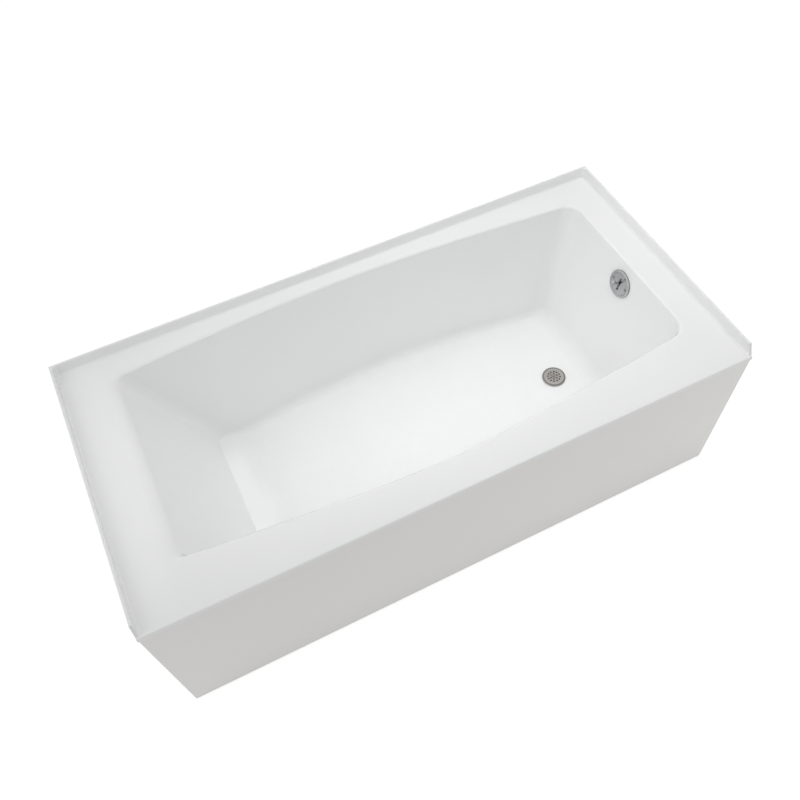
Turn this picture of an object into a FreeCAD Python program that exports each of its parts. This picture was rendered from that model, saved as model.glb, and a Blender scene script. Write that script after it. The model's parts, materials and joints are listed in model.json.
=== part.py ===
import FreeCAD, Part
import math
import os
import re

import Sketcher
from FreeCAD import Placement, Rotation, Vector

# An alcove bathtub: +X runs from the head end to the drain end, +Y from the apron to the back wall
# and +Z up. The origin is on the ground, under the middle of the tub. Sizes are millimetres.

SIZES = [
    # the tub's overall form
    ("tub_length", 1676.4), ("tub_width", 812.8), ("deck_height", 512),
    ("acrylic", 5), ("laminate", 3), ("seat_gap", 0.3),
    ("flange_rise", 35), ("flange_thickness", 7), ("flange_start", 6), ("flange_cut_back", 22.7),
    ("flange_cove", 6), ("flange_round", 2.5), ("flange_corner", 14),
    ("lip_drop", 14), ("lip_round", 5),
    # the basin: its four edges at deck level, and its walls
    ("head_deck", 139.4), ("drain_deck", 96.4), ("back_deck", 50), ("front_deck", 96),
    ("head_lean", 26), ("drain_lean", 10), ("side_lean", 3.5),
    ("head_roll", 38), ("rim_roll", 8), ("least_roll", 0.8), ("head_fillet", 79), ("drain_fillet", 50),
    ("side_fillet", 34), ("head_crease", 0.45),
    ("head_rim_corner", 22), ("head_wall_corner", 50), ("head_floor_corner", 45),
    ("drain_rim_corner", 50), ("drain_wall_corner", 54), ("drain_floor_corner", 40),
    ("rim_bow_angle", 5.8), ("rim_bow_middle", -24), ("back_bow_reach", 285), ("front_bow_reach", 175),
    ("floor_bow_angle", 8), ("floor_bow_middle", 62), ("floor_bow_reach", 200),
    ("floor_height", 86), ("floor_slope", 0.006),
    # the board, the channels and the feet under the floor
    ("board_length", 870), ("board_width", 385), ("board_thickness", 16), ("board_to_drain", 80),
    ("rail_length", 570), ("rail_width", 40), ("rail_height", 22), ("rail_gauge", 2.5), ("rail_inset", 95),
    ("foot_spread", 440), ("rod_radius", 6), ("running_gap", 0.05),
    ("pad_radius", 25), ("pad_rim", 5), ("pad_height", 14), ("pad_boss", 11), ("pad_flare", 2),
    ("pad_floor", 5),
    ("pad_chamfer", 1.5), ("rod_chamfer", 1),
    ("rod_rise", 9), ("foot_nut_across", 19), ("foot_nut_height", 10), ("jam_nut_height", 6),
    ("plate_width", 90), ("plate_gauge", 3), ("plate_screw_inset", 14), ("foot_raise", 5),
    ("wood_screw_radius", 2.2), ("wood_screw_head", 4.6), ("wood_screw_head_height", 2.6),
    ("wood_screw_length", 14), ("screw_round", 0.9), ("screw_point", 3), ("screw_gap", 0.1),
    ("screw_pitch_y", 110), ("overcut", 1),
    # the apron and what holds it
    ("apron_thickness", 4), ("apron_setback", 1.5), ("apron_seam", 1.5), ("apron_ground_gap", 2),
    ("apron_return", 32), ("apron_end_gap", 1.5), ("laminate_inset", 14),
    ("strip_width", 46), ("strip_length", 1560), ("strip_inset", 9), ("apron_screw_inset", 15),
    ("apron_screw_pitch", 290),
    ("stiffener_width", 60), ("stiffener_depth", 12), ("stiffener_gap", 8),
    ("bracket_width", 30), ("bracket_gauge", 3), ("bracket_lap", 45), ("bracket_rise", 34),
    ("tab_screw_drop", 10),
    ("bolt_radius", 3), ("bolt_head_across", 10), ("bolt_head_height", 4), ("bolt_over", 2),
    # the drain in the floor
    ("drain_to_end", 288.4), ("waste_offset", 20), ("drain_hole", 25), ("drain_seat", 0.5),
    ("spud_flange", 35), ("spud_flange_thickness", 2.4), ("spud_radius", 22.5), ("spud_bore", 19.5),
    ("spud_depth", 27), ("spud_bevel", 1), ("crossbar_width", 8), ("crossbar_thickness", 4),
    ("crossbar_drop", 4),
    ("thread_gap", 0.1),
    ("strainer_radius", 37.5), ("strainer_thickness", 2.4), ("strainer_rim", 0.9),
    ("strainer_rim_width", 2.5),
    ("strainer_hole", 2.5), ("outer_holes", 19.5), ("outer_hole_count", 12),
    ("inner_holes", 10.9), ("inner_hole_count", 6),
    ("centre_screw_radius", 2.5), ("centre_screw_head", 4.6), ("centre_screw_head_height", 1.8),
    ("centre_screw_edge", 0.3), ("centre_screw_flat", 2.5),
    ("gasket_thickness", 3), ("drain_gasket_radius", 33),
    # the pipes
    ("pipe_radius", 19.05), ("pipe_wall", 1.5), ("socket_gap", 0.1), ("socket_radius", 23),
    ("sleeve_radius", 25),
    ("arm_height", 46), ("shoe_radius", 25.5), ("shoe_wall", 4), ("shoe_reach", 48), ("shoe_flange", 4),
    ("socket_depth", 18), ("sleeve_height", 52), ("tee_top", 140), ("tee_reach", 56), ("tee_bottom", 15),
    ("ledge_bore", 16),
    ("ledge_thickness", 2.5), ("spigot_depth", 6.5), ("hub_radius", 24.5), ("hub_height", 8),
    ("outlet_bottom", 4), ("hub_bore_depth", 7),
    ("tee_socket_depth", 26), ("bell_top", 300), ("bell_height", 54), ("bell_flare", 6), ("bell_depth", 38),
    ("nut_radius", 29), ("nut_wall", 3), ("nut_height", 24), ("nut_lip", 3), ("nut_chamfer", 1.5),
    ("outlet_nut_height", 10), ("outlet_nut_lip", 2), ("nut_rib", 2.2), ("nut_rib_count", 8),
    ("wing_span", 38), ("wing_base", 22), ("wing_tip", 5), ("wing_count", 2),
    # the overflow
    ("overflow_drop", 74), ("overflow_hole", 34), ("overflow_gasket_radius", 41),
    ("overflow_gasket_thickness", 5), ("elbow_flange", 4), ("elbow_radius", 26), ("elbow_wall", 3),
    ("elbow_depth", 62), ("elbow_bevel", 6), ("elbow_socket_drop", 46), ("elbow_socket_depth", 16),
    ("plate_radius", 43), ("plate_skin", 1.5), ("plate_bulge", 5.8), ("plate_dish", 2), ("plate_roll", 4.5),
    ("plate_rim_width", 8.4), ("plate_ridge_width", 6.9), ("plate_ease", 1.2),
    ("plate_screw_offset", 29), ("plate_screw_radius", 2.4), ("plate_screw_head", 4.8),
    ("plate_screw_head_height", 2), ("plate_screw_edge", 0.4), ("plate_screw_flat", 2.6),
    ("screw_over", 4), ("slot_half_height", 21), ("slot_half_width", 2.8),
    # the trip lever, its linkage and the plunger
    ("pivot_depth", 3.3), ("lever_arm", 30), ("lever_end", 3), ("lever_swing", 50), ("lever_thickness", 3),
    ("lever_width", 8), ("lever_bevel", 1.2), ("handle_start", 13), ("handle_lap", 4), ("handle_length", 42),
    ("handle_radius", 3.4), ("tip_radius", 4.8), ("tip_length", 16), ("pin_radius", 1.5), ("pin_over", 1),
    ("cheek_gap", 0.4), ("cheek_thickness", 2), ("cheek_half_width", 6), ("cheek_drop", 4),
    ("bracket_half_length", 15), ("bracket_foot", 4), ("bracket_skin", 1.2), ("bracket_bridge", 3),
    ("yoke_half_width", 5.5), ("yoke_drop", 18), ("yoke_block", 8), ("yoke_cap", 3), ("link_radius", 2),
    ("link_nut_across", 7), ("link_nut_height", 3),
    ("plunger_radius", 18.4), ("plunger_wall", 3), ("plunger_height", 50), ("plunger_bevel", 1),
    ("plunger_bar", 5), ("plunger_bar_width", 8),
]

# Sizes that follow from the ones above.
DERIVED = [
    ("half_length", "tub_length / 2"), ("half_width", "tub_width / 2"),
    ("deck_under", "deck_height - acrylic"),
    ("laminate_top", "deck_under - seat_gap"), ("laminate_under", "laminate_top - laminate"),
    ("wall_depth", "acrylic + seat_gap + laminate"), ("floor_under", "floor_height - wall_depth"),
    ("rim_top", "deck_height + flange_rise"),
    ("drain_x", "half_length - drain_to_end"),
    # the board and the channels
    ("board_end", "drain_x - board_to_drain"), ("board_start", "board_end - board_length"),
    ("board_under", "floor_under - board_thickness"), ("rail_web", "board_under - rail_gauge"),
    ("rail_bottom", "board_under - rail_height"), ("plate_under", "board_under - plate_gauge"),
    ("head_rail_x", "board_start + rail_inset"), ("drain_rail_x", "board_end - rail_inset"),
    ("centre_foot_x", "(head_rail_x + drain_rail_x) / 2"),
    ("front_foot_y", "waste_offset - foot_spread / 2"), ("back_foot_y", "waste_offset + foot_spread / 2"),
    ("rail_front", "waste_offset - rail_length / 2"),
    ("rod_hole", "rod_radius + running_gap"), ("screw_hole", "wood_screw_radius + screw_gap"),
    ("rod_bottom", "pad_floor + running_gap"), ("rod_top", "board_under + rod_rise"),
    ("centre_rod_top", "plate_under - foot_raise"),
    # the apron
    ("apron_front", "apron_setback - half_width"), ("apron_inside", "apron_front + apron_thickness"),
    ("apron_top", "deck_height - lip_drop - apron_seam"),
    ("apron_return_under", "apron_top - apron_thickness"), ("apron_end", "half_length - apron_end_gap"),
    ("strip_front", "apron_front + strip_inset"),
    ("apron_screw_y", "strip_front + apron_screw_inset"),
    ("stiffener_back", "apron_inside + stiffener_depth"), ("bracket_top", "board_under + bracket_gauge"),
    ("bolt_hole", "bolt_radius + screw_gap"), ("bracket_bolt_y", "rail_front + bracket_lap / 2"),
    ("tab_screw_z", "board_under + bracket_rise - tab_screw_drop"),
    # the drain
    ("spud_seat", "floor_height + drain_seat"), ("strainer_seat", "spud_seat + spud_flange_thickness"),
    ("strainer_top", "strainer_seat + strainer_thickness"),
    ("centre_screw_hole", "centre_screw_radius + screw_gap"),
    ("crossbar_low", "spud_seat - crossbar_drop - crossbar_thickness"),
    ("spud_end", "spud_seat - spud_depth"), ("shoe_top", "floor_under - gasket_thickness"),
    ("pipe_bore", "pipe_radius - pipe_wall"), ("pipe_socket", "pipe_radius + socket_gap"),
    ("nut_bore", "socket_radius + socket_gap"), ("nut_lip_bore", "pipe_radius + seat_gap"),
    ("spigot_top", "tee_bottom + spigot_depth"), ("sleeve_bottom", "tee_top - sleeve_height"),
    ("middle_bottom", "tee_top - tee_socket_depth"), ("bell_bottom", "bell_top - bell_height"),
    # the overflow and its lever
    ("overflow_height", "deck_height - overflow_drop"),
    ("elbow_socket_bottom", "overflow_height - elbow_socket_drop"),
    ("overflow_x", "half_length - drain_deck - overflow_drop * tan(drain_lean)"),
    ("pivot_x", "overflow_x + pivot_depth * cos(drain_lean)"),
    ("pivot_z", "overflow_height - pivot_depth * sin(drain_lean)"),
    ("arm_low_x", "lever_arm * cos(lever_swing / 2)"), ("arm_low_z", "lever_arm * sin(lever_swing / 2)"),
    ("riser_x", "pivot_x + (lever_arm + arm_low_x) / 2"), ("tee_mouth", "riser_x - tee_reach"),
    ("link_pin_x", "pivot_x + arm_low_x"), ("link_pin_z", "pivot_z - arm_low_z"),
    ("gasket_face", "-wall_depth - overflow_gasket_thickness"),
    ("elbow_face", "gasket_face - elbow_flange"),
    ("elbow_seat", "elbow_socket_bottom + elbow_socket_depth"),
    ("plate_crown", "seat_gap + plate_bulge"), ("plate_top", "plate_crown - plate_dish"),
    ("pin_hole", "pin_radius + running_gap"), ("cheek", "lever_thickness / 2 + cheek_gap"),
    ("cheek_outside", "cheek + cheek_thickness"), ("link_hole", "link_radius + screw_gap"),
    ("yoke_low", "link_pin_z - yoke_drop"), ("ledge_top", "spigot_top + ledge_thickness"),
    ("hub_top", "outlet_bottom + hub_height"), ("plunger_bottom", "ledge_top + seat_gap"),
    ("plunger_top", "plunger_bottom + plunger_height"),
]

doc = FreeCAD.newDocument("alcove_bathtub")
sheet = doc.addObject("Spreadsheet::Sheet", "sizes")
WORDS = {name for name, _ in SIZES + DERIVED}
NEAR = 0.01    # places closer than this count as one
nodes = {}


def rule(text):
    """Points the words of a size rule at the sheet."""
    return re.sub(r"[a-z_]+\d*", lambda word: "sizes." + word[0] if word[0] in WORDS else word[0], str(text))


def fill_sheet():
    for row, (name, value) in enumerate(SIZES, 1):
        sheet.set("A%d" % row, name)
        sheet.set("B%d" % row, str(value))
        sheet.setAlias("B%d" % row, name)
    for row, (name, text) in enumerate(DERIVED, 1):
        sheet.set("D%d" % row, name)
        sheet.set("E%d" % row, "=" + text)
        sheet.setAlias("E%d" % row, name)
    doc.recompute()


def size(name):
    return float(getattr(sheet, name))


def bind(item, **rules):
    for prop, text in rules.items():
        item.setExpression(prop, rule(text))
    return item


def place(item, x="0", y="0", z="0", axis=None, angle="0"):
    """Puts an item at x, y, z, turned by an angle about an axis."""
    if axis:
        item.Placement = Placement(Vector(), Rotation(Vector(*axis), 1))
        item.setExpression("Placement.Rotation.Angle", rule(angle))
    for letter, text in zip("xyz", (x, y, z)):
        item.setExpression("Placement.Base." + letter, rule(text))
    return item


def keep(item, name):
    """Makes an item the node of that name."""
    item.Label = name
    nodes[name] = item
    return item


# --- solids from primitives ---------------------------------------------------------------------

def block(name, x, y, z):
    """A box between a low and a high rule on each axis."""
    item = bind(doc.addObject("Part::Box", name), Length="(%s) - (%s)" % (x[1], x[0]),
                Width="(%s) - (%s)" % (y[1], y[0]), Height="(%s) - (%s)" % (z[1], z[0]))
    return place(item, x[0], y[0], z[0])


def post(name, radius, z, x="0", y="0"):
    """An upright cylinder between two heights."""
    item = bind(doc.addObject("Part::Cylinder", name), Radius=radius, Height="(%s) - (%s)" % (z[1], z[0]))
    return place(item, x, y, z[0])


def bar(name, radius, x, y, z):
    """A cylinder lying along X between two places."""
    item = bind(doc.addObject("Part::Cylinder", name), Radius=radius, Height="(%s) - (%s)" % (x[1], x[0]))
    return place(item, x[0], y, z, (0, 1, 0), "90")


def cross_pin(name, radius, y, x, z):
    """A cylinder lying along Y between two places."""
    item = bind(doc.addObject("Part::Cylinder", name), Radius=radius, Height="(%s) - (%s)" % (y[1], y[0]))
    return place(item, x, y[0], z, (1, 0, 0), "-90")


def ball(name, radius, x, y, z):
    return place(bind(doc.addObject("Part::Sphere", name), Radius=radius), x, y, z)


def hexagon(name, across, z, x="0", y="0"):
    """A hexagonal prism, for a nut or a bolt head."""
    item = bind(doc.addObject("Part::Prism", name), Circumradius="(%s) / 2 / cos(30)" % across,
                Height="(%s) - (%s)" % (z[1], z[0]))
    item.Polygon = 6
    return place(item, x, y, z[0])


def fuse(name, *items):
    item = doc.addObject("Part::MultiFuse", name)
    item.Shapes = list(items)
    item.Refine = True
    return item


def group(name, *items):
    item = doc.addObject("Part::Compound", name)
    item.Links = list(items)
    return item


def cut(name, base, *tools):
    item = doc.addObject("Part::Cut", name)
    item.Base = base
    item.Tool = tools[0] if len(tools) == 1 else group(name + "_tools", *tools)
    item.Refine = True
    return item


# --- bodies from sketches -----------------------------------------------------------------------

def sketch(body, role, corners, lift="0"):
    """A closed outline whose corners are pairs of rules, on one of the body's own planes."""
    item = body.newObject("Sketcher::SketchObject", body.Name + "_sketch")
    plane = [feature for feature in body.Origin.OriginFeatures if feature.Role == role][0]
    item.AttachmentSupport = [(plane, "")]
    item.MapMode = "FlatFace"
    item.setExpression("AttachmentOffset.Base.z", rule(lift))
    count = len(corners)
    start = [(math.cos(2 * math.pi * i / count), math.sin(2 * math.pi * i / count)) for i in range(count)]
    for i in range(count):
        ends = [Vector(*start[i], 0), Vector(*start[(i + 1) % count], 0)]
        item.addGeometry(Part.LineSegment(*ends), False)
    for i in range(count):
        item.addConstraint(Sketcher.Constraint("Coincident", i, 2, (i + 1) % count, 1))
        for kind, value, text in zip(("DistanceX", "DistanceY"), start[i], corners[i]):
            index = item.addConstraint(Sketcher.Constraint(kind, -1, 1, i, 1, value))
            item.setExpression("Constraints[%d]" % index, rule(text))
    return item


def turned(name, corners):
    """A body turned about its own Z axis from corners of (radius, height)."""
    body = doc.addObject("PartDesign::Body", name)
    outline = sketch(body, "XZ_Plane", corners)
    spin = body.newObject("PartDesign::Revolution", name + "_revolution")
    spin.Profile = outline
    spin.ReferenceAxis = (outline, ["V_Axis"])
    spin.Angle = 360
    return body


def rounded(body, radius, *corners):
    """Rounds the round edges that run through corners of a turned body."""
    doc.recompute()
    base = body.Tip
    places = [[float(sheet.evalExpression(rule(text))) for text in corner] for corner in corners]
    names = []
    for i, edge in enumerate(base.Shape.Edges, 1):
        start = edge.Vertexes[0].Point
        reach = math.hypot(start.x, start.y)
        if any(math.hypot(reach - place[0], start.z - place[1]) < NEAR for place in places):
            names.append("Edge%d" % i)
    item = body.newObject("PartDesign::Fillet", body.Name + "_fillet")
    item.Base = (base, names)
    item.setExpression("Radius", rule(radius))
    body.Tip = item
    return body


def padded(name, role, corners, low, high):
    """A body padded from one of its planes, from low to high along the plane's normal."""
    body = doc.addObject("PartDesign::Body", name)
    outline = sketch(body, role, corners, low)
    pad = body.newObject("PartDesign::Pad", name + "_pad")
    pad.Profile = outline
    pad.setExpression("Length", rule("(%s) - (%s)" % (high, low)))
    return body


def ring_of_holes(body, radius, reach, count):
    """Round holes through a body, evenly round its Z axis."""
    outline = body.newObject("Sketcher::SketchObject", body.Name + "_hole_sketch")
    plane = [feature for feature in body.Origin.OriginFeatures if feature.Role == "XY_Plane"][0]
    outline.AttachmentSupport = [(plane, "")]
    outline.MapMode = "FlatFace"
    outline.addGeometry(Part.Circle(Vector(size(reach), 0, 0), Vector(0, 0, 1), size(radius)), False)
    for kind, text in (("DistanceX", reach), ("DistanceY", "0")):
        index = outline.addConstraint(Sketcher.Constraint(kind, -1, 1, 0, 3, 1.0))
        outline.setExpression("Constraints[%d]" % index, rule(text))
    index = outline.addConstraint(Sketcher.Constraint("Radius", 0, size(radius)))
    outline.setExpression("Constraints[%d]" % index, rule(radius))
    doc.recompute()
    pocket = body.newObject("PartDesign::Pocket", body.Name + "_hole")
    pocket.Profile = outline
    pocket.Type = "ThroughAll"
    pocket.Midplane = True
    ring = body.newObject("PartDesign::PolarPattern", body.Name + "_hole_ring")
    ring.Originals = [pocket]
    ring.Axis = (outline, ["N_Axis"])
    ring.Angle = 360
    ring.setExpression("Occurrences", rule(count))
    body.Tip = ring
    return body


# --- the moulded tray ---------------------------------------------------------------------------

BLEND = 0.74           # weight of the middle pole of every roll and fillet, near that of a quarter turn
NEAR_FILLET = 0.15     # how far up the wall its last pole before the fillet is
CORNER_BLEND = 0.933   # the same for the two arcs of a corner of the plan, near that of an eighth turn


def wall_rows(lean, roll, fillet, crease, top, bottom, shift):
    """One wall in section: six poles of (inset, height), from the deck round the roll to the floor.

    A crease of more than 0 makes the fillet start flatter than the wall, as at the foot of the backrest.
    """
    slope = math.radians(lean)
    half_turn = math.tan((math.pi / 2 - slope) / 2)
    along = (math.sin(slope), -math.cos(slope))
    toe = (shift + (top - bottom) * math.tan(slope), bottom)
    roll_run = roll * half_turn
    fillet_run = fillet * half_turn
    fold = toe[0] + fillet_run * crease
    return [(shift - roll_run, top), (shift, top), (shift + roll_run * along[0], top + roll_run * along[1]),
            (toe[0] - fillet_run * along[0], bottom - fillet_run * along[1]), (fold, bottom),
            (fold + fillet_run, bottom)]


def corner_arcs(tip, ahead, after, turn, radius, low, high):
    """The two arcs that round a corner of the plan, climbing from one wall's height to the next's."""
    run = radius * math.tan(turn / 2)
    step = radius * math.tan(turn / 4)
    start = tip - ahead * run
    end = tip + after * run
    near = start + ahead * step
    far = end - after * step
    for point, level in ((start, low), (near, low), (far, high), (end, high)):
        point.z = level
    middle = (near + far) / 2
    weights = [1, CORNER_BLEND, 1]
    return [([start, near, middle], weights), ([middle, far, end], weights)]


def bowed_side(start, end, middle, reach, height):
    """Half bows that meet at the side's farthest point, from corner to corner."""
    apex = Vector(middle, height, 0)
    apex.z = (start.z + end.z) / 2
    toward = 1 if end.x > start.x else -1
    shoulders = [apex - Vector(toward * reach, 0, 0), apex + Vector(toward * reach, 0, 0)]
    return [([start, shoulders[0], apex], [1, 1, 1]), ([apex, shoulders[1], end], [1, 1, 1])]


def plan_loop(row, insets, head_radius, drain_radius):
    """One closed loop of poles round the basin at one row of the walls' sections."""
    (head, head_z), (drain, drain_z), (back, back_z), (front, front_z) = insets
    on_floor = row > 2
    angle = math.radians(size("floor_bow_angle" if on_floor else "rim_bow_angle"))
    middle = size("floor_bow_middle" if on_floor else "rim_bow_middle")
    back_reach = size("floor_bow_reach" if on_floor else "back_bow_reach")
    front_reach = size("floor_bow_reach" if on_floor else "front_bow_reach")
    head_x = -size("half_length") + size("head_deck") + head
    drain_x = size("half_length") - size("drain_deck") - drain
    back_y = size("half_width") - size("back_deck") - back
    front_y = -size("half_width") + size("front_deck") + front
    drop = math.tan(angle)
    turn = math.pi / 2 - angle
    up = Vector(0, 1, 0)
    rising = Vector(math.cos(angle), math.sin(angle), 0)
    falling = Vector(math.cos(angle), -math.sin(angle), 0)
    tips = {
        "head_back": Vector(head_x, back_y - (middle - back_reach - head_x) * drop, 0),
        "drain_back": Vector(drain_x, back_y - (drain_x - middle - back_reach) * drop, 0),
        "drain_front": Vector(drain_x, front_y + (drain_x - middle - front_reach) * drop, 0),
        "head_front": Vector(head_x, front_y + (middle - front_reach - head_x) * drop, 0)}
    head_back = corner_arcs(tips["head_back"], up, rising, turn, head_radius, head_z, back_z)
    drain_back = corner_arcs(tips["drain_back"], falling, -up, turn, drain_radius, back_z, drain_z)
    drain_front = corner_arcs(tips["drain_front"], -up, -rising, turn, drain_radius, drain_z, front_z)
    head_front = corner_arcs(tips["head_front"], -falling, up, turn, head_radius, front_z, head_z)
    loop = [([head_front[1][0][2], head_back[0][0][0]], [1, 1])] + head_back
    loop += bowed_side(head_back[1][0][2], drain_back[0][0][0], middle, back_reach, back_y) + drain_back
    loop += [([drain_back[1][0][2], drain_front[0][0][0]], [1, 1])] + drain_front
    loop += bowed_side(drain_front[1][0][2], head_front[0][0][0], middle, front_reach, front_y) + head_front
    return loop


def wall_grid(depth, slope):
    """Rows of pole loops for the basin's surface, moved outward by depth; the floor rises by slope."""
    top = size("deck_height") - depth
    bottom = size("floor_height") - depth
    walls = (("head_lean", "head_roll", "head_fillet", size("head_crease")),
             ("drain_lean", "rim_roll", "drain_fillet", 0),
             ("side_lean", "rim_roll", "side_fillet", 0), ("side_lean", "rim_roll", "side_fillet", 0))
    sections = []
    for lean, roll, fillet, crease in walls:
        shift = -depth * math.tan((math.pi / 2 - math.radians(size(lean))) / 2)
        inner_roll = max(size(roll) - depth, size("least_roll"))
        outer_fillet = size(fillet) + depth
        sections.append(wall_rows(size(lean), inner_roll, outer_fillet, crease, top, bottom, shift))
    loops = []
    for row, corner in enumerate(["rim"] * 3 + ["wall"] * 2 + ["floor"]):
        radii = [size("%s_%s_corner" % (end, corner)) + depth for end in ("head", "drain")]
        loop = plan_loop(row, [section[row] for section in sections], *radii)
        if row > 2:
            loop = [([tilt(point, slope) for point in poles], weights) for poles, weights in loop]
        loops.append(loop)
    # two more rows keep the wall in line with the roll above it and straight down to the fillet
    after_roll = stretch(loops[1], loops[2])
    before_fillet = between(loops[3], loops[2], NEAR_FILLET)
    return loops[:3] + [after_roll, before_fillet] + loops[3:]


def tilt(point, slope):
    """Lifts a floor point by its distance from the drain, so that water runs to it."""
    return Vector(point.x, point.y, point.z + slope * (size("drain_x") - point.x))


def stretch(first, second):
    """The loop as far beyond the second as the second is beyond the first."""
    return [([b * 2 - a for a, b in zip(one[0], two[0])], one[1]) for one, two in zip(first, second)]


def between(first, second, part):
    """The loop at a part of the way from the first to the second."""
    return [([a + (b - a) * part for a, b in zip(one[0], two[0])], one[1]) for one, two in zip(first, second)]


def strip_faces(rows, row_weights):
    """The faces of one strip of the wall, one for each piece of the loop."""
    faces = []
    for piece in range(len(rows[0])):
        poles = [row[piece][0] for row in rows]
        weights = [[row_weight * weight for weight in rows[0][piece][1]] for row_weight in row_weights]
        down, round_ = len(poles), len(poles[0])
        surface = Part.BSplineSurface()
        surface.buildFromPolesMultsKnots(poles, [down, down], [round_, round_], [0, 1], [0, 1], False, False,
                                         down - 1, round_ - 1, weights)
        faces.append(surface.toShape())
    return faces


def loop_wire(loop):
    """The closed wire along a loop of poles."""
    edges = []
    for poles, weights in loop:
        count = len(poles)
        curve = Part.BSplineCurve()
        curve.buildFromPolesMultsKnots(poles, [count, count], [0, 1], False, count - 1, weights)
        edges.append(curve.toShape())
    return Part.Wire(edges)


def basin_faces(grid):
    """Walls and floor of one side of the tray."""
    blend = [1, BLEND, 1]
    faces = strip_faces(grid[:3], blend) + strip_faces(grid[2:6], [1, 1, 1, 1])
    return faces + strip_faces(grid[5:8], blend) + [Part.Face(loop_wire(grid[7]))]


def tray(inner_depth, thickness, inner_slope, outer_slope, inset):
    """A solid tray: a basin with a flat rim that ends at the tub's outline, set in on each side."""
    inner = wall_grid(inner_depth, inner_slope)
    outer = wall_grid(inner_depth + thickness, outer_slope)
    x = size("half_length") - inset
    y = size("half_width") - inset
    corners = ((-x, -y), (x, -y), (x, y), (-x, y))
    faces = basin_faces(inner) + basin_faces(outer)
    rims = []
    for grid in (inner, outer):
        level = grid[0][0][0][0].z
        rim = [Vector(*corner, level) for corner in corners]
        rims.append(rim)
        outline = Part.makePolygon(rim + rim[:1])
        faces.append(Part.Face([outline, loop_wire(grid[0])]))
    for i in range(4):
        j = (i + 1) % 4
        side = [rims[0][i], rims[0][j], rims[1][j], rims[1][i], rims[0][i]]
        faces.append(Part.Face(Part.makePolygon(side)))
    shell = Part.Compound(faces)
    shell.sewShape(1e-4)
    solid = Part.Solid(shell.Shells[0])
    if solid.Volume < 0:
        solid.reverse()
    return solid


def waste_holes(solid):
    """Cuts the drain's hole in the floor and the overflow's in the drain-end wall."""
    drain_at = Vector(size("drain_x"), size("waste_offset"), 0)
    drain = Part.makeCylinder(size("drain_hole"), 2 * size("floor_height"), drain_at)
    lean = math.radians(size("drain_lean"))
    outward = Vector(math.cos(lean), 0, -math.sin(lean))
    centre = Vector(size("overflow_x"), size("waste_offset"), size("overflow_height"))
    reach = 4 * size("wall_depth")
    overflow = Part.makeCylinder(size("overflow_hole"), 2 * reach, centre - outward * reach, outward)
    return solid.cut(Part.Compound([drain, overflow]))


def along(edge, low, high):
    """True if an edge lies within the box between two corners."""
    box = edge.BoundBox
    ends = ((box.XMin, box.XMax), (box.YMin, box.YMax), (box.ZMin, box.ZMax))
    return all(a - NEAR <= e[0] and e[1] <= b + NEAR for a, b, e in zip(low, high, ends))


def make_tub_shell():
    """Basin, deck, tile flange and front lip of one moulded sheet."""
    x, y = size("half_length"), size("half_width")
    deck, top = size("deck_height"), size("rim_top")
    thick, low = size("flange_thickness"), size("deck_under")
    lip_bottom = deck - size("lip_drop")
    skin = size("acrylic")
    solid = tray(0, skin, size("floor_slope"), size("floor_slope"), 0)
    rise = top - low
    walls = [Part.makeBox(thick, 2 * y, rise, Vector(-x, -y, low)),
             Part.makeBox(thick, 2 * y, rise, Vector(x - thick, -y, low)),
             Part.makeBox(2 * x, thick, rise, Vector(-x, y - thick, low)),
             Part.makeBox(2 * x, skin, deck - lip_bottom, Vector(-x, -y, lip_bottom))]
    solid = solid.multiFuse(walls)
    # the side flanges slope back at the front
    start = Vector(-x, size("flange_start") - y, deck)
    corners = [Vector(-x, -y, deck), start, Vector(-x, size("flange_cut_back") - y, top), Vector(-x, -y, top)]
    wedge = Part.Face(Part.makePolygon(corners + corners[:1])).extrude(Vector(2 * x, 0, 0))
    solid = solid.cut(wedge).removeSplitter()
    front = [edge for edge in solid.Edges if along(edge, (-x, -y, deck), (x, -y, deck))]
    solid = solid.makeFillet(size("lip_round"), front)
    inside = x - thick
    rear = y - thick
    upright = [edge for edge in solid.Edges if along(edge, (-inside, rear, deck), (-inside, rear, top))
               or along(edge, (inside, rear, deck), (inside, rear, top))]
    solid = solid.makeFillet(size("flange_corner"), upright)
    cove = [edge for edge in solid.Edges if along(edge, (-inside, -y, deck), (inside, rear, deck))
            and not along(edge, (-inside, -y, deck), (inside, -y, deck))
            and (edge.BoundBox.XMin < -inside + size("flange_corner") + 1
                 or edge.BoundBox.XMax > inside - size("flange_corner") - 1)
            and (edge.BoundBox.YMax > rear - 1 or edge.BoundBox.YMin < -y + 1)]
    solid = solid.makeFillet(size("flange_cove"), cove)
    crest = [edge for edge in solid.Edges if along(edge, (-x, -y, top), (x, y, top))]
    solid = solid.makeFillet(size("flange_round"), crest)
    return waste_holes(solid)


def make_laminate():
    """Fibreglass under the sheet, level underneath so that the board lies flat."""
    depth = size("acrylic") + size("seat_gap")
    solid = tray(depth, size("laminate"), size("floor_slope"), 0, size("laminate_inset"))
    return waste_holes(solid)


def moulded(name, shape):
    item = doc.addObject("Part::Feature", name)
    item.Shape = shape
    item.Placement = Placement()
    return keep(item, name)


# --- under the floor ----------------------------------------------------------------------------

FEET = (("head_rail_x", "front_foot_y"), ("head_rail_x", "back_foot_y"),
        ("drain_rail_x", "front_foot_y"), ("drain_rail_x", "back_foot_y"),
        ("centre_foot_x", "waste_offset"))


def screw(name, length):
    """A pan-head screw: its head hangs below local Z 0 and its shank runs up from there."""
    head, low = "wood_screw_head", "-wood_screw_head_height"
    return turned(name, [("0", low), (head + " - screw_round", low), (head, low + " + screw_round"),
                         (head, "0"), ("wood_screw_radius", "0"),
                         ("wood_screw_radius", "(%s) - screw_point" % length), ("0", length)])


def screw_holes(name, places, low, high):
    return [post("%s_hole_%d" % (name, i), "screw_hole", (low, high), *place_xy)
            for i, place_xy in enumerate(places)]


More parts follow.
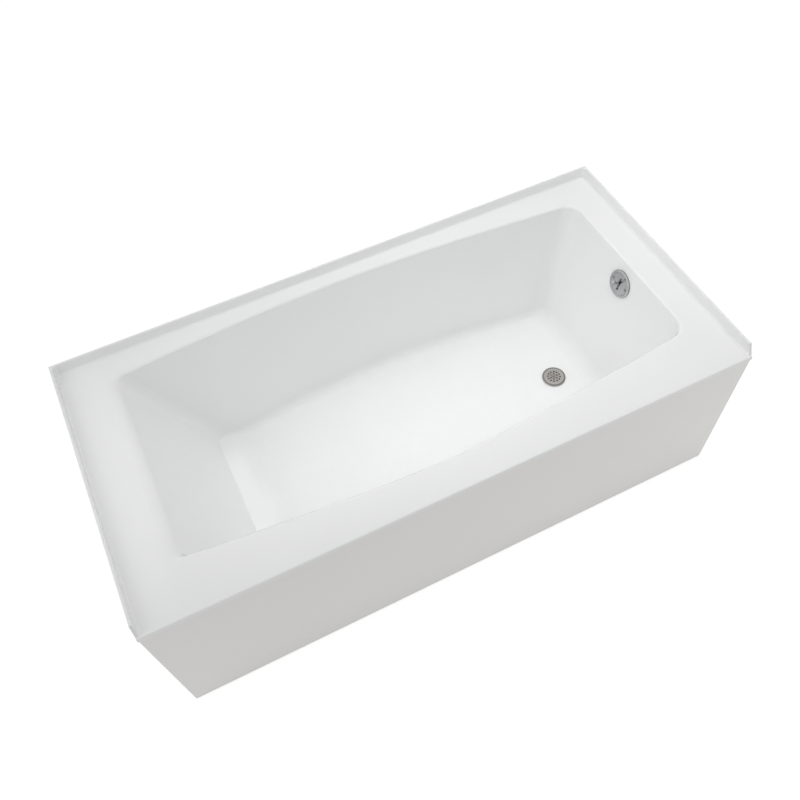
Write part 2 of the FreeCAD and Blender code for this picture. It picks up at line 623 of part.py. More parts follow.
def rail_screw_places():
    """Two screws through each channel and four through the middle foot's plate."""
    places = [(rail, "waste_offset + %d * screw_pitch_y" % side)
              for rail in ("head_rail_x", "drain_rail_x") for side in (-1, 1)]
    spread = "(plate_width / 2 - plate_screw_inset)"
    places += [("centre_foot_x + %d * %s" % (i, spread), "waste_offset + %d * %s" % (j, spread))
               for i in (-1, 1) for j in (-1, 1)]
    return places


def make_rail(rail, screw_places, feet):
    """A steel channel under the board, open downward, with the feet's rods through its web."""
    half, wall = "rail_width / 2", "rail_width / 2 - rail_gauge"
    outline = [("-" + half, "rail_bottom"), ("-(%s)" % wall, "rail_bottom"), ("-(%s)" % wall, "rail_web"),
               (wall, "rail_web"), (wall, "rail_bottom"), (half, "rail_bottom"), (half, "board_under"),
               ("-" + half, "board_under")]
    # the sketch's plane looks along -Y, so the pad runs from the back end to the front end
    body = padded(rail + "_blank", "XZ_Plane", outline, "-waste_offset - rail_length / 2",
                  "-waste_offset + rail_length / 2")
    place(body, rail + "_x")
    web = ("rail_web - overcut", "board_under + overcut")
    holes = screw_holes(rail, screw_places, *web)
    holes += [post("%s_rod_%d" % (rail, i), "rod_hole", web, x, y) for i, (x, y) in enumerate(feet)]
    holes.append(post(rail + "_bolt_hole", "bolt_hole", web, rail + "_x", "bracket_bolt_y"))
    keep(cut(rail + "_cut", body, *holes), rail)


def make_base():
    places = rail_screw_places()
    board = block("board_blank", ("board_start", "board_end"),
                  ("waste_offset - board_width / 2", "waste_offset + board_width / 2"),
                  ("board_under", "floor_under"))
    holes = screw_holes("board", places, "board_under - overcut", "board_under + wood_screw_length")
    keep(cut("board_cut", board, *holes), "base_board")
    make_rail("head_rail", places[:2], FEET[:2])
    make_rail("drain_rail", places[2:4], FEET[2:4])
    plate = block("plate_blank", ("centre_foot_x - plate_width / 2", "centre_foot_x + plate_width / 2"),
                  ("waste_offset - plate_width / 2", "waste_offset + plate_width / 2"),
                  ("plate_under", "board_under"))
    holes = screw_holes("plate", places[4:], "plate_under - overcut", "board_under + overcut")
    keep(cut("plate_cut", plate, *holes), "centre_foot_plate")
    seats = ["rail_web"] * 4 + ["plate_under"] * 4
    screws = [place(screw("rail_screw_%d" % i, "wood_screw_length"), x, y, seat)
              for i, ((x, y), seat) in enumerate(zip(places, seats))]
    keep(group("screw_set", *screws), "rail_screws")


def make_feet():
    """Five pads with their rods, and the welded nut and jam nut that each rod runs in."""
    nuts = []
    for i, (x, y) in enumerate(FEET, 1):
        centre = i == len(FEET)
        seat = "plate_under" if centre else "rail_web"
        top = "centre_rod_top" if centre else "rod_top"
        pad = turned("pad_%d" % i, [("rod_hole", "pad_floor"), ("rod_hole", "pad_height"),
                                    ("pad_boss - pad_chamfer", "pad_height"),
                                    ("pad_boss", "pad_height - pad_chamfer"),
                                    ("pad_boss + pad_flare", "pad_rim + pad_chamfer * 2"),
                                    ("pad_radius - pad_chamfer", "pad_rim"),
                                    ("pad_radius", "pad_rim - pad_chamfer"), ("pad_radius", "0"), ("0", "0"),
                                    ("0", "pad_floor")])
        keep(place(pad, x, y), "foot_pad_%d" % i)
        rod = turned("rod_%d" % i, [("0", "rod_bottom"), ("rod_radius", "rod_bottom"),
                                    ("rod_radius", "%s - rod_chamfer" % top),
                                    ("rod_radius - rod_chamfer", top), ("0", top)])
        keep(place(rod, x, y), "foot_rod_%d" % i)
        weld_low = seat + " - foot_nut_height"
        jam_high = weld_low + " - seat_gap"
        jam_low = jam_high + " - jam_nut_height"
        weld_nut = hexagon("weld_nut_%d" % i, "foot_nut_across", (weld_low, seat), x, y)
        jam_nut = hexagon("jam_nut_%d" % i, "foot_nut_across", (jam_low, jam_high), x, y)
        bore = post("nut_bore_%d" % i, "rod_hole", ("0", "deck_height"), x, y)
        nuts += [cut("weld_nut_cut_%d" % i, weld_nut, bore), cut("jam_nut_cut_%d" % i, jam_nut, bore)]
    keep(group("nut_set", *nuts), "foot_nuts")


# --- the apron ----------------------------------------------------------------------------------

def make_panel():
    """The front panel with its returns, the strip it hangs on and their screws."""
    end, back = "apron_end", "apron_inside + apron_return"
    outer = block("apron_outer", ("-" + end, end), ("apron_front", back), ("apron_ground_gap", "apron_top"))
    inner = block("apron_inner", ("apron_thickness - " + end, end + " - apron_thickness"),
                  ("apron_inside", back + " + overcut"),
                  ("apron_ground_gap + apron_thickness", "apron_return_under"))
    places = [("%d * apron_screw_pitch" % i, "apron_screw_y") for i in (-2, -1, 0, 1, 2)]
    holes = screw_holes("apron", places, "apron_return_under - overcut", "apron_top + overcut")
    keep(cut("apron_cut", outer, inner, *holes), "apron")
    strip = block("strip_blank", ("-strip_length / 2", "strip_length / 2"),
                  ("strip_front", "strip_front + strip_width"), ("apron_top", "laminate_under"))
    holes = screw_holes("strip", places, "apron_top - overcut", "laminate_under + overcut")
    keep(cut("strip_cut", strip, *holes), "rim_strip")
    reach = "laminate_under - apron_return_under - screw_gap"
    screws = [place(screw("apron_screw_%d" % i, reach), x, y, "apron_return_under")
              for i, (x, y) in enumerate(places)]
    keep(group("apron_screw_set", *screws), "apron_screws")


def make_bracket(i, x):
    """An angle bracket on the channel's web, cut for its bolt and for the screw into the stiffener."""
    back, end, gauge = "stiffener_back", "rail_front + bracket_lap", "bracket_gauge"
    outline = [(back, "board_under"), (end, "board_under"), (end, "bracket_top"),
               (back + " + " + gauge, "bracket_top"), (back + " + " + gauge, "board_under + bracket_rise"),
               (back, "board_under + bracket_rise")]
    body = padded("bracket_%d" % i, "YZ_Plane", outline, "-bracket_width / 2", "bracket_width / 2")
    place(body, x)
    bolt_hole = post("bracket_bolt_hole_%d" % i, "bolt_hole",
                     ("board_under - overcut", "bracket_top + overcut"), x, "bracket_bolt_y")
    through = ("apron_inside + screw_gap", "stiffener_back + bracket_gauge + overcut")
    tab_hole = cross_pin("bracket_tab_hole_%d" % i, "screw_hole", through, x, "tab_screw_z")
    return cut("bracket_cut_%d" % i, body, bolt_hole, tab_hole), tab_hole


def make_bracket_bolt(i, x):
    at = (x, "bracket_bolt_y")
    nut_low = "rail_web - bolt_head_height"
    head_top = "bracket_top + bolt_head_height"
    head = hexagon("bolt_head_%d" % i, "bolt_head_across", ("bracket_top", head_top), *at)
    shank = post("bolt_shank_%d" % i, "bolt_radius", (nut_low + " - bolt_over", "bracket_top"), *at)
    nut = hexagon("bolt_nut_%d" % i, "bolt_head_across", (nut_low, "rail_web"), *at)
    return fuse("bolt_%d" % i, head, shank, nut)


def make_apron():
    make_panel()
    span = ("apron_ground_gap + apron_thickness + stiffener_gap", "apron_return_under - stiffener_gap")
    uprights = [block("stiffener_%d" % i, (x + " - stiffener_width / 2", x + " + stiffener_width / 2"),
                      ("apron_inside", "stiffener_back"), span)
                for i, x in enumerate(("head_rail_x", "drain_rail_x", "centre_foot_x"))]
    brackets, bolts, tab_screws = [], [], []
    for i, x in enumerate(("head_rail_x", "drain_rail_x")):
        bracket, tab_hole = make_bracket(i, x)
        brackets.append(bracket)
        uprights[i] = cut("stiffener_cut_%d" % i, uprights[i], tab_hole)
        bolts.append(make_bracket_bolt(i, x))
        tab_screw = screw("tab_screw_%d" % i, "stiffener_depth")
        place(tab_screw, x, "stiffener_back + bracket_gauge", "tab_screw_z", (1, 0, 0), "90")
        tab_screws.append(tab_screw)
    keep(group("stiffener_set", *uprights), "apron_stiffeners")
    keep(group("bracket_set", *brackets), "apron_brackets")
    keep(group("bolt_set", *bolts), "bracket_bolts")
    keep(group("tab_screw_set", *tab_screws), "bracket_screws")


# --- the drain ----------------------------------------------------------------------------------

def make_strainer():
    at = ("drain_x", "waste_offset")
    seat, edge, bore = "strainer_seat", "strainer_radius", "centre_screw_hole"
    plate = turned("strainer", [(bore, seat), (edge, seat), (edge, seat + " + strainer_rim"),
                                (edge + " - strainer_rim_width", "strainer_top - strainer_rim / 2"),
                                (edge + " - strainer_rim_width * 2", "strainer_top"), (bore, "strainer_top")])
    ring_of_holes(plate, "strainer_hole", "outer_holes", "outer_hole_count")
    inner = []
    through = (seat + " - overcut", "strainer_top + overcut")
    for i in range(int(size("inner_hole_count"))):
        turn = "(%d * 360 / inner_hole_count)" % i
        inner.append(post("strainer_hole_%d" % i, "strainer_hole", through,
                          "inner_holes * cos" + turn, "inner_holes * sin" + turn))
    keep(place(cut("strainer_cut", plate, *inner), *at), "strainer_plate")
    head, top = "centre_screw_head", "strainer_top + centre_screw_head_height"
    low = "crossbar_low - crossbar_drop"
    centre = turned("centre_screw", [("0", top), ("centre_screw_flat", top),
                                     (head, "strainer_top + centre_screw_edge"), (head, "strainer_top"),
                                     ("centre_screw_radius", "strainer_top"), ("centre_screw_radius", low),
                                     ("0", low)])
    keep(place(centre, *at), "strainer_screw")


def make_spud():
    """The threaded drain body that clamps the floor, with a crossbar for the strainer's screw."""
    at = ("drain_x", "waste_offset")
    ring = turned("spud_ring", [("spud_bore", "spud_end"), ("spud_radius", "spud_end"),
                                ("spud_radius", "spud_seat"), ("spud_flange", "spud_seat"),
                                ("spud_flange", "spud_seat + spud_flange_thickness / 2"),
                                ("spud_flange - spud_bevel", "strainer_seat"),
                                ("spud_bore", "strainer_seat")])
    half = "(spud_bore + spud_radius) / 2"
    crossbar = block("crossbar", ("-" + half, half), ("-crossbar_width / 2", "crossbar_width / 2"),
                     ("crossbar_low", "crossbar_low + crossbar_thickness"))
    thread = post("crossbar_thread", "centre_screw_hole", ("spud_end", "strainer_seat"))
    spud = cut("spud_cut", fuse("spud_blank", ring, crossbar), thread)
    keep(place(spud, *at), "drain_spud")
    gasket = turned("gasket", [("drain_hole", "shoe_top"), ("drain_gasket_radius", "shoe_top"),
                               ("drain_gasket_radius", "floor_under"), ("drain_hole", "floor_under")])
    keep(place(gasket, *at), "drain_gasket")


def make_shoe():
    """The bend under the drain, and the pipe from it to the tee."""
    x, y, z = "drain_x", "waste_offset", "arm_height"
    end = "drain_x + shoe_reach"
    flange = post("shoe_flange", "drain_gasket_radius", ("shoe_top - shoe_flange", "shoe_top"), x, y)
    outer = fuse("shoe_outer", flange, post("shoe_neck", "shoe_radius", (z, "shoe_top"), x, y),
                 ball("shoe_bend", "shoe_radius", x, y, z),
                 bar("shoe_branch", "socket_radius", (x, end), y, z))
    inner = fuse("shoe_inner", post("shoe_bore", "spud_radius + thread_gap", (z, "shoe_top + overcut"), x, y),
                 ball("shoe_bend_bore", "shoe_radius - shoe_wall", x, y, z),
                 bar("shoe_branch_bore", "pipe_bore", (x, end + " + overcut"), y, z),
                 bar("shoe_socket", "pipe_socket", (end + " - socket_depth", end + " + overcut"), y, z))
    keep(cut("shoe_cut", outer, inner), "waste_shoe")
    start = end + " - socket_depth + seat_gap"
    stop = "tee_mouth + socket_depth - seat_gap"
    pipe = bar("arm_outer", "pipe_radius", (start, stop), y, z)
    hollow = bar("arm_inner", "pipe_bore", (start + " - overcut", stop + " + overcut"), y, z)
    keep(cut("arm_cut", pipe, hollow), "shoe_arm")


# --- the pipes ----------------------------------------------------------------------------------

PLAIN_NUT = ("nut_radius + nut_rib", "nut_rib * 2", "nut_rib * 2", "nut_rib_count")
WING_NUT = ("wing_span", "wing_base", "wing_tip", "wing_count")


def slip_nut(name, height, lip, grips):
    """A union nut: its lip holds a washer on a pipe and its skirt covers the socket's thread."""
    shoulder = "nut_radius - nut_wall"
    body = turned(name, [("nut_lip_bore", "%s - %s" % (height, lip)), ("nut_bore", "%s - %s" % (height, lip)),
                         ("nut_bore", "0"), ("nut_radius - nut_chamfer", "0"), ("nut_radius", "nut_chamfer"),
                         (shoulder + " + nut_chamfer", height + " - nut_chamfer"), (shoulder, height),
                         ("nut_lip_bore", height)])
    reach, base, tip, count = grips
    outline = sketch(body, "XY_Plane", [("-(%s) / 2" % base, shoulder), ("(%s) / 2" % base, shoulder),
                                        ("(%s) / 2" % tip, reach), ("-(%s) / 2" % tip, reach)], "nut_chamfer")
    pad = body.newObject("PartDesign::Pad", name + "_rib")
    pad.Profile = outline
    pad.setExpression("Length", rule(height + " - nut_chamfer * 2"))
    doc.recompute()
    ring = body.newObject("PartDesign::PolarPattern", name + "_ribs")
    ring.Originals = [pad]
    ring.Axis = (outline, ["N_Axis"])
    ring.Angle = 360
    ring.setExpression("Occurrences", rule(count))
    body.Tip = ring
    return body


def washer(name, thickness):
    """A rubber ring under a union nut's lip, round the pipe."""
    return turned(name, [("nut_lip_bore", "0"), ("socket_radius", "0"),
                         ("socket_radius - nut_chamfer", thickness), ("nut_lip_bore", thickness)])


def make_tee():
    x, y, z = "riser_x", "waste_offset", "arm_height"
    outer = fuse("tee_outer", post("tee_leg", "socket_radius", ("tee_bottom", "tee_top"), x, y),
                 post("tee_sleeve", "sleeve_radius", ("sleeve_bottom", "tee_top - nut_height"), x, y),
                 bar("tee_branch", "socket_radius", ("tee_mouth", x), y, z))
    socket = ("tee_mouth - overcut", "tee_mouth + socket_depth")
    inner = fuse("tee_inner", post("tee_bore", "pipe_socket", ("ledge_top", "tee_top + overcut"), x, y),
                 post("tee_ledge", "ledge_bore", ("tee_bottom", "tee_top"), x, y),
                 post("tee_spigot", "pipe_socket", ("tee_bottom - overcut", "spigot_top"), x, y),
                 bar("tee_branch_bore", "pipe_bore", ("tee_mouth", x), y, z),
                 bar("tee_branch_socket", "pipe_socket", socket, y, z))
    keep(cut("tee_cut", outer, inner), "waste_tee")


def make_unions():
    """The washer and the nut at each union, from the socket's mouth outward."""
    x, y = "riser_x", "waste_offset"
    skirt = "(nut_height - nut_lip * 2)"
    thickness = "nut_lip - seat_gap"
    for name, mouth, grips in (("tee", "tee_top", WING_NUT), ("upper", "bell_top", PLAIN_NUT)):
        ring = washer(name + "_ring", thickness)
        keep(place(ring, x, y, mouth + " + seat_gap / 2"), name + "_washer")
        nut = slip_nut(name + "_nut", "nut_height", "nut_lip", grips)
        keep(place(nut, x, y, mouth + " - " + skirt), name + "_slip_nut")
    ring = washer("arm_ring", thickness)
    keep(place(ring, "tee_mouth - seat_gap / 2", y, "arm_height", (0, 1, 0), "-90"), "arm_washer")
    nut = slip_nut("arm_nut", "nut_height", "nut_lip", PLAIN_NUT)
    keep(place(nut, "tee_mouth + " + skirt, y, "arm_height", (0, 1, 0), "-90"), "arm_slip_nut")


def make_outlet():
    """The spigot and hub under the tee, held by a winged nut."""
    x, y = "riser_x", "waste_offset"
    top, step = "spigot_top - seat_gap", "outlet_bottom + hub_bore_depth"
    adapter = turned("adapter", [("pipe_socket", "outlet_bottom"), ("hub_radius", "outlet_bottom"),
                                 ("hub_radius", "hub_top"), ("pipe_radius", "hub_top"), ("pipe_radius", top),
                                 ("pipe_bore", top), ("pipe_bore", step), ("pipe_socket", step)])
    keep(place(adapter, x, y), "outlet_adapter")
    nut = slip_nut("outlet_union", "outlet_nut_height", "outlet_nut_lip", WING_NUT)
    keep(place(nut, x, y, "hub_top + outlet_nut_height", (1, 0, 0), "180"), "outlet_nut")
    ring = washer("outlet_ring", "tee_bottom - hub_top - outlet_nut_lip - seat_gap")
    keep(place(ring, x, y, "tee_bottom - seat_gap / 2", (1, 0, 0), "180"), "outlet_washer")


def make_riser():
    at = ("riser_x", "waste_offset")
    seat = "bell_top - bell_depth"
    collar = "bell_top - nut_height"
    middle = turned("middle", [("pipe_bore", "middle_bottom"), ("pipe_radius", "middle_bottom"),
                               ("pipe_radius", "bell_bottom"), ("sleeve_radius", "bell_bottom + bell_flare"),
                               ("sleeve_radius", collar), ("socket_radius", collar),
                               ("socket_radius", "bell_top"), ("pipe_socket", "bell_top"),
                               ("pipe_socket", seat), ("pipe_bore", seat)])
    keep(place(middle, *at), "middle_tube")
    low = seat + " + seat_gap"
    high = "elbow_seat - seat_gap"
    upper = turned("upper", [("pipe_bore", low), ("pipe_radius", low), ("pipe_radius", high),
                             ("pipe_bore", high)])
    keep(place(upper, *at), "overflow_tube")


# --- the overflow -------------------------------------------------------------------------------
# Its pieces are made round the hole's axis, with local Z out of the wall into the basin and local X
# up the wall, and then placed on the wall.

SIDES = (-1, 1)


def on_wall(item):
    return place(item, "overflow_x", "waste_offset", "overflow_height", (0, 1, 0), "drain_lean - 90")


def plate_screw_holes(name, low, high):
    return [post("%s_%d" % (name, side), "plate_screw_radius + screw_gap", (low, high), "0",
                 "%d * plate_screw_offset" % side) for side in SIDES]


def make_overflow():
    edge = "overflow_gasket_radius"
    gasket = turned("overflow_ring", [("overflow_hole", "gasket_face"), (edge, "gasket_face"),
                                      (edge, "-wall_depth"), ("overflow_hole", "-wall_depth")])
    keep(on_wall(gasket), "overflow_gasket")
    back, wall = "-elbow_depth", "elbow_radius - elbow_wall"
    cup = turned("elbow_cup", [("0", back), ("elbow_radius - elbow_bevel", back),
                               ("elbow_radius", back + " + elbow_bevel"), ("elbow_radius", "elbow_face"),
                               (edge, "elbow_face"), (edge, "gasket_face"), ("0", "gasket_face")])
    inside, mouth = back + " + elbow_wall", "gasket_face + overcut"
    hollow = turned("elbow_hollow", [("0", inside), (wall + " - elbow_bevel", inside),
                                     (wall, inside + " + elbow_bevel"), (wall, mouth), ("0", mouth)])
    trim = post("elbow_trim", edge, ("gasket_face", "0"))
    ways = group("elbow_ways", trim, *plate_screw_holes("elbow_screw", "elbow_face - overcut", mouth))
    x, y = "riser_x", "waste_offset"
    socket = post("elbow_socket", "socket_radius", ("elbow_socket_bottom", "pivot_z"), x, y)
    way = post("elbow_way", "pipe_bore", ("elbow_seat", "pivot_z"), x, y)
    seat = post("elbow_mouth", "pipe_socket", ("elbow_socket_bottom - overcut", "elbow_seat"), x, y)
    blank = fuse("elbow_blank", on_wall(cup), socket)
    keep(cut("elbow_cut", blank, on_wall(hollow), way, seat, on_wall(ways)), "overflow_elbow")


def make_face_plate():
    """A pressed plate with a dished face, a round ridge and a rolled rim."""
    edge, inside, base, top = "plate_radius", "plate_radius - plate_skin", "seat_gap", "plate_top"
    land, ridge = "plate_radius - plate_rim_width", "plate_radius - plate_ridge_width"
    under, hollow = "plate_top - plate_skin", "plate_crown - plate_skin"
    face = turned("face", [("0", top), (land, top), (ridge, "plate_crown"), (edge, "plate_crown"),
                           (edge, base), (inside, base), (inside, hollow),
                           (ridge + " + plate_skin / 2", hollow), (land + " + plate_skin / 2", under),
                           ("0", under)])
    rounded(face, "plate_roll", (edge, "plate_crown"))
    rounded(face, "plate_roll - plate_skin", (inside, hollow))
    rounded(face, "plate_ease", (land, top), (ridge, "plate_crown"))
    slot = block("lever_slot", ("-slot_half_height", "slot_half_height"),
                 ("-slot_half_width", "slot_half_width"), ("0", "plate_crown"))
    holes = plate_screw_holes("face_hole", "0", "plate_crown")
    keep(on_wall(cut("face_cut", face, slot, *holes)), "face_plate")
    low, head, high = "elbow_face - screw_over", "plate_screw_head", "plate_top + plate_screw_head_height"
    screws = []
    for side in SIDES:
        body = turned("face_screw_%d" % side, [("0", low), ("plate_screw_radius", low),
                                               ("plate_screw_radius", top), (head, top),
                                               (head, top + " + plate_screw_edge"),
                                               ("plate_screw_flat", high), ("0", high)])
        screws.append(place(body, "0", "%d * plate_screw_offset" % side))
    keep(on_wall(group("face_screws", *screws)), "plate_screws")


def make_lever_mount():
    """A bracket on the back of the face plate, with a cheek on each side of the lever."""
    top, low, outer = "plate_top - plate_skin - seat_gap", "-pivot_depth - cheek_drop", "cheek_outside"
    base = block("lever_base", ("-bracket_half_length", "bracket_half_length"),
                 ("-cheek_outside - bracket_foot", "cheek_outside + bracket_foot"),
                 (top + " - bracket_skin", top))
    across = ("-" + outer, outer)
    cheeks = block("lever_cheeks", ("-cheek_half_width", "cheek_half_width"), across, (low, top))
    length = "bracket_half_length - bracket_bridge"
    gap = block("lever_gap", ("-(%s)" % length, length), ("-cheek", "cheek"),
                (low + " - overcut", top + " + overcut"))
    through = ("-slot_half_height", "slot_half_height")
    hole = cross_pin("lever_hole", "pin_hole", through, "0", "-pivot_depth")
    keep(on_wall(cut("lever_mount", fuse("lever_mount_blank", base, cheeks), gap, hole)), "lever_bracket")
    end, head = outer + " + pin_over", outer + " + screw_gap"
    shank = cross_pin("pivot_shank", "pin_radius", ("-%s - pin_over" % outer, end), "0", "0")
    cap = cross_pin("pivot_head", "pin_radius + pin_over", (head, head + " + pin_over"), "0", "0")
    keep(place(fuse("pivot_pin", shank, cap), "pivot_x", "waste_offset", "pivot_z"), "lever_pin")


def make_lever():
    """A flat blade on the pivot with an arm to the linkage, and a round handle in the basin."""
    up = "(lever_swing / 2 + drain_lean)"
    down = "(lever_swing / 2)"
    half, tip = "lever_width / 2", "lever_arm + lever_end"
    inner = "handle_start + handle_lap"

    def corner(way, reach, side, angle):
        """A corner at some reach toward the basin (-1) or the linkage (1), to one side of the middle line."""
        return ("%d * (%s) * cos%s + (%s) * sin%s" % (way, reach, angle, side, angle),
                "%d * (%s) * sin%s + (%s) * cos%s" % (-way, reach, angle, side, angle))

    outline = [corner(-1, inner, half + " - lever_bevel", up), corner(-1, half, half, up),
               corner(1, half, half, down), corner(1, "lever_arm", half, down),
               corner(1, tip, "lever_bevel", down), corner(1, tip, "-lever_bevel", down),
               corner(1, "lever_arm", "-" + half, down), corner(1, half, "-" + half, down),
               corner(-1, half, "-" + half, up), corner(-1, inner, "lever_bevel - " + half, up)]
    blade = padded("lever_blade", "XZ_Plane", outline, "-lever_thickness / 2", "lever_thickness / 2")
    place(blade, "pivot_x", "waste_offset", "pivot_z")
    knob = "handle_length - tip_length"
    handle = turned("lever_handle", [("0", "handle_start"), ("handle_radius - lever_bevel", "handle_start"),
                                     ("handle_radius", "handle_start + lever_bevel"), ("handle_radius", knob),
                                     ("tip_radius", knob + " + handle_lap"),
                                     ("tip_radius", "handle_length - lever_bevel"),
                                     ("tip_radius - lever_bevel", "handle_length"), ("0", "handle_length")])
    place(handle, "pivot_x", "waste_offset", "pivot_z", (0, 1, 0), up + " - 90")
    spans = ("waste_offset - lever_width", "waste_offset + lever_width")
    pivot = cross_pin("lever_pivot_hole", "pin_hole", spans, "pivot_x", "pivot_z")
    link = cross_pin("lever_link_hole", "pin_hole", spans, "link_pin_x", "link_pin_z")
    keep(cut("lever_cut", fuse("lever_blank", blade, handle), pivot, link), "trip_lever")
    reach = "(cheek_outside + pin_over / 2)"
    pin = cross_pin("link_pin", "pin_radius", ("waste_offset - " + reach, "waste_offset + " + reach),
                    "link_pin_x", "link_pin_z")
    keep(pin, "linkage_pin")


def make_yoke():
    """A fork over the lever's arm, with a slot across for the pin and a hole for the rod."""
    x, y = "riser_x", "waste_offset"
    sides = (x + " - yoke_half_width", x + " + yoke_half_width")
    body = block("yoke_body", sides, (y + " - cheek_outside", y + " + cheek_outside"),
                 ("yoke_low", "link_pin_z + yoke_cap"))
    floor = "yoke_low + yoke_block"
    gap = block("yoke_gap", (x + " - yoke_half_width * 2", x + " + yoke_half_width * 2"),
                (y + " - cheek", y + " + cheek"), (floor, "link_pin_z + yoke_cap + overcut"))
    play = "(pin_radius + (lever_arm - arm_low_x) / 2 + seat_gap)"
    slot = block("yoke_slot", (x + " - " + play, x + " + " + play),
                 (y + " - cheek_outside - overcut", y + " + cheek_outside + overcut"),
                 ("link_pin_z - pin_radius - seat_gap", "link_pin_z + pin_radius + seat_gap"))
    hole = post("yoke_hole", "link_hole", ("yoke_low - overcut", floor + " + overcut"), x, y)
    keep(cut("yoke_cut", body, gap, slot, hole), "linkage_yoke")


def make_linkage():
    """The yoke, a threaded rod with its nuts, and the hollow plunger with its bar across."""
    make_yoke()
    x, y = "riser_x", "waste_offset"
    top, bar_low = "plunger_top", "plunger_top - plunger_bar"
    rod_low = bar_low + " - link_nut_height - screw_over"
    keep(post("link", "link_radius", (rod_low, "yoke_low + yoke_block - seat_gap"), x, y), "linkage_rod")
    bores = post("link_nut_bore", "link_hole", (rod_low, "yoke_low"), x, y)
    nuts = [hexagon("link_nut_%d" % i, "link_nut_across", (low, low + " + link_nut_height"), x, y)
            for i, low in enumerate((top, bar_low + " - link_nut_height", "yoke_low - link_nut_height"))]
    rings = [cut("link_nut_cut_%d" % i, nut, bores) for i, nut in enumerate(nuts)]
    keep(group("link_nuts", *rings), "linkage_nuts")
    edge, bore = "plunger_radius", "(plunger_radius - plunger_wall)"
    bevel = "(plunger_radius - plunger_bevel)"
    sleeve = turned("plunger_sleeve", [(bore, "plunger_bottom"), (bevel, "plunger_bottom"),
                                       (edge, "plunger_bottom + plunger_bevel"),
                                       (edge, top + " - plunger_bevel"), (bevel, top), (bore, top)])
    place(sleeve, x, y)
    half_bar = "plunger_bar_width / 2"
    across = block("plunger_across", (x + " - " + bevel, x + " + " + bevel),
                   (y + " - " + half_bar, y + " + " + half_bar), (bar_low, top))
    hole = post("plunger_hole", "link_hole", (bar_low + " - overcut", top + " + overcut"), x, y)
    keep(cut("plunger_cut", fuse("plunger_blank", sleeve, across), hole), "plunger")


def check_and_write():
    doc.recompute()
    faults = [item.Name for item in doc.Objects if "Invalid" in item.State or "Error" in item.State]
    for name, item in nodes.items():
        shape = item.Shape
        if shape.isNull() or not shape.isValid() or not shape.Solids:
            faults.append(name)
    if faults:
        raise RuntimeError("these objects failed: " + ", ".join(faults))
    os.makedirs("parts", exist_ok=True)
    for name, item in nodes.items():
        item.Shape.exportStep("parts/%s.step" % name)


fill_sheet()
moulded("tub_shell", make_tub_shell())
moulded("laminate_backing", make_laminate())
make_base()
make_feet()
make_apron()
make_strainer()
make_spud()
make_shoe()
make_tee()
make_unions()
make_outlet()
make_riser()
make_overflow()
make_face_plate()
make_lever_mount()
make_lever()
make_linkage()
check_and_write()
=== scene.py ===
import json
import math

import bmesh
import bpy
from mathutils import Matrix, Vector


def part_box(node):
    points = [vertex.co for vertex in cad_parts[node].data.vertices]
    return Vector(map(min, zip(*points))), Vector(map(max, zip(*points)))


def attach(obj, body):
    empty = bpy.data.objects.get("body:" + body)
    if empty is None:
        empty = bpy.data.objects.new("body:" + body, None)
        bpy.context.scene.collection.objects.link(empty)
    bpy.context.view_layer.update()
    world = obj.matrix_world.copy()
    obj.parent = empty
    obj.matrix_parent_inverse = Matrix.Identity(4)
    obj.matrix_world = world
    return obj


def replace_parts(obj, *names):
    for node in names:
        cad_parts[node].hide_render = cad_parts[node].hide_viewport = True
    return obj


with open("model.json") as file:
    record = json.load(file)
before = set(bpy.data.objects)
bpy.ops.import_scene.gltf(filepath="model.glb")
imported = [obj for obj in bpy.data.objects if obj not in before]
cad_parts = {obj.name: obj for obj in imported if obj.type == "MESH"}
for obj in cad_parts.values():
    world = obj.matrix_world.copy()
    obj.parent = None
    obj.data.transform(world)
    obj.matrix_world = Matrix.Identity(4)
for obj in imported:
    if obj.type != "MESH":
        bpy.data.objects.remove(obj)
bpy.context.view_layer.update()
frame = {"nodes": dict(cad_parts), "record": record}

# An alcove bathtub. Metres: +X runs from the head end to the drain end, +Y from the apron to the back
# wall and +Z up, with the origin on the ground under the middle of the tub.

# --- node tools ---------------------------------------------------------------------------------

PATTERN_LOW, PATTERN_HIGH = 0.3, 0.7      # between these lies most of a noise or cell pattern
PAINTED_SHADE_SHUT, PAINTED_SHADE_OPEN = 0.45, 0.95     # painted shade: how open a spot is where the shade is darkest and where there is none
PAINTED_SHADE_SAMPLES = 8
# the colour of the painted shade in the deepest grooves
PAINTED_SHADE_COLOUR = (0.02, 0.02, 0.02)


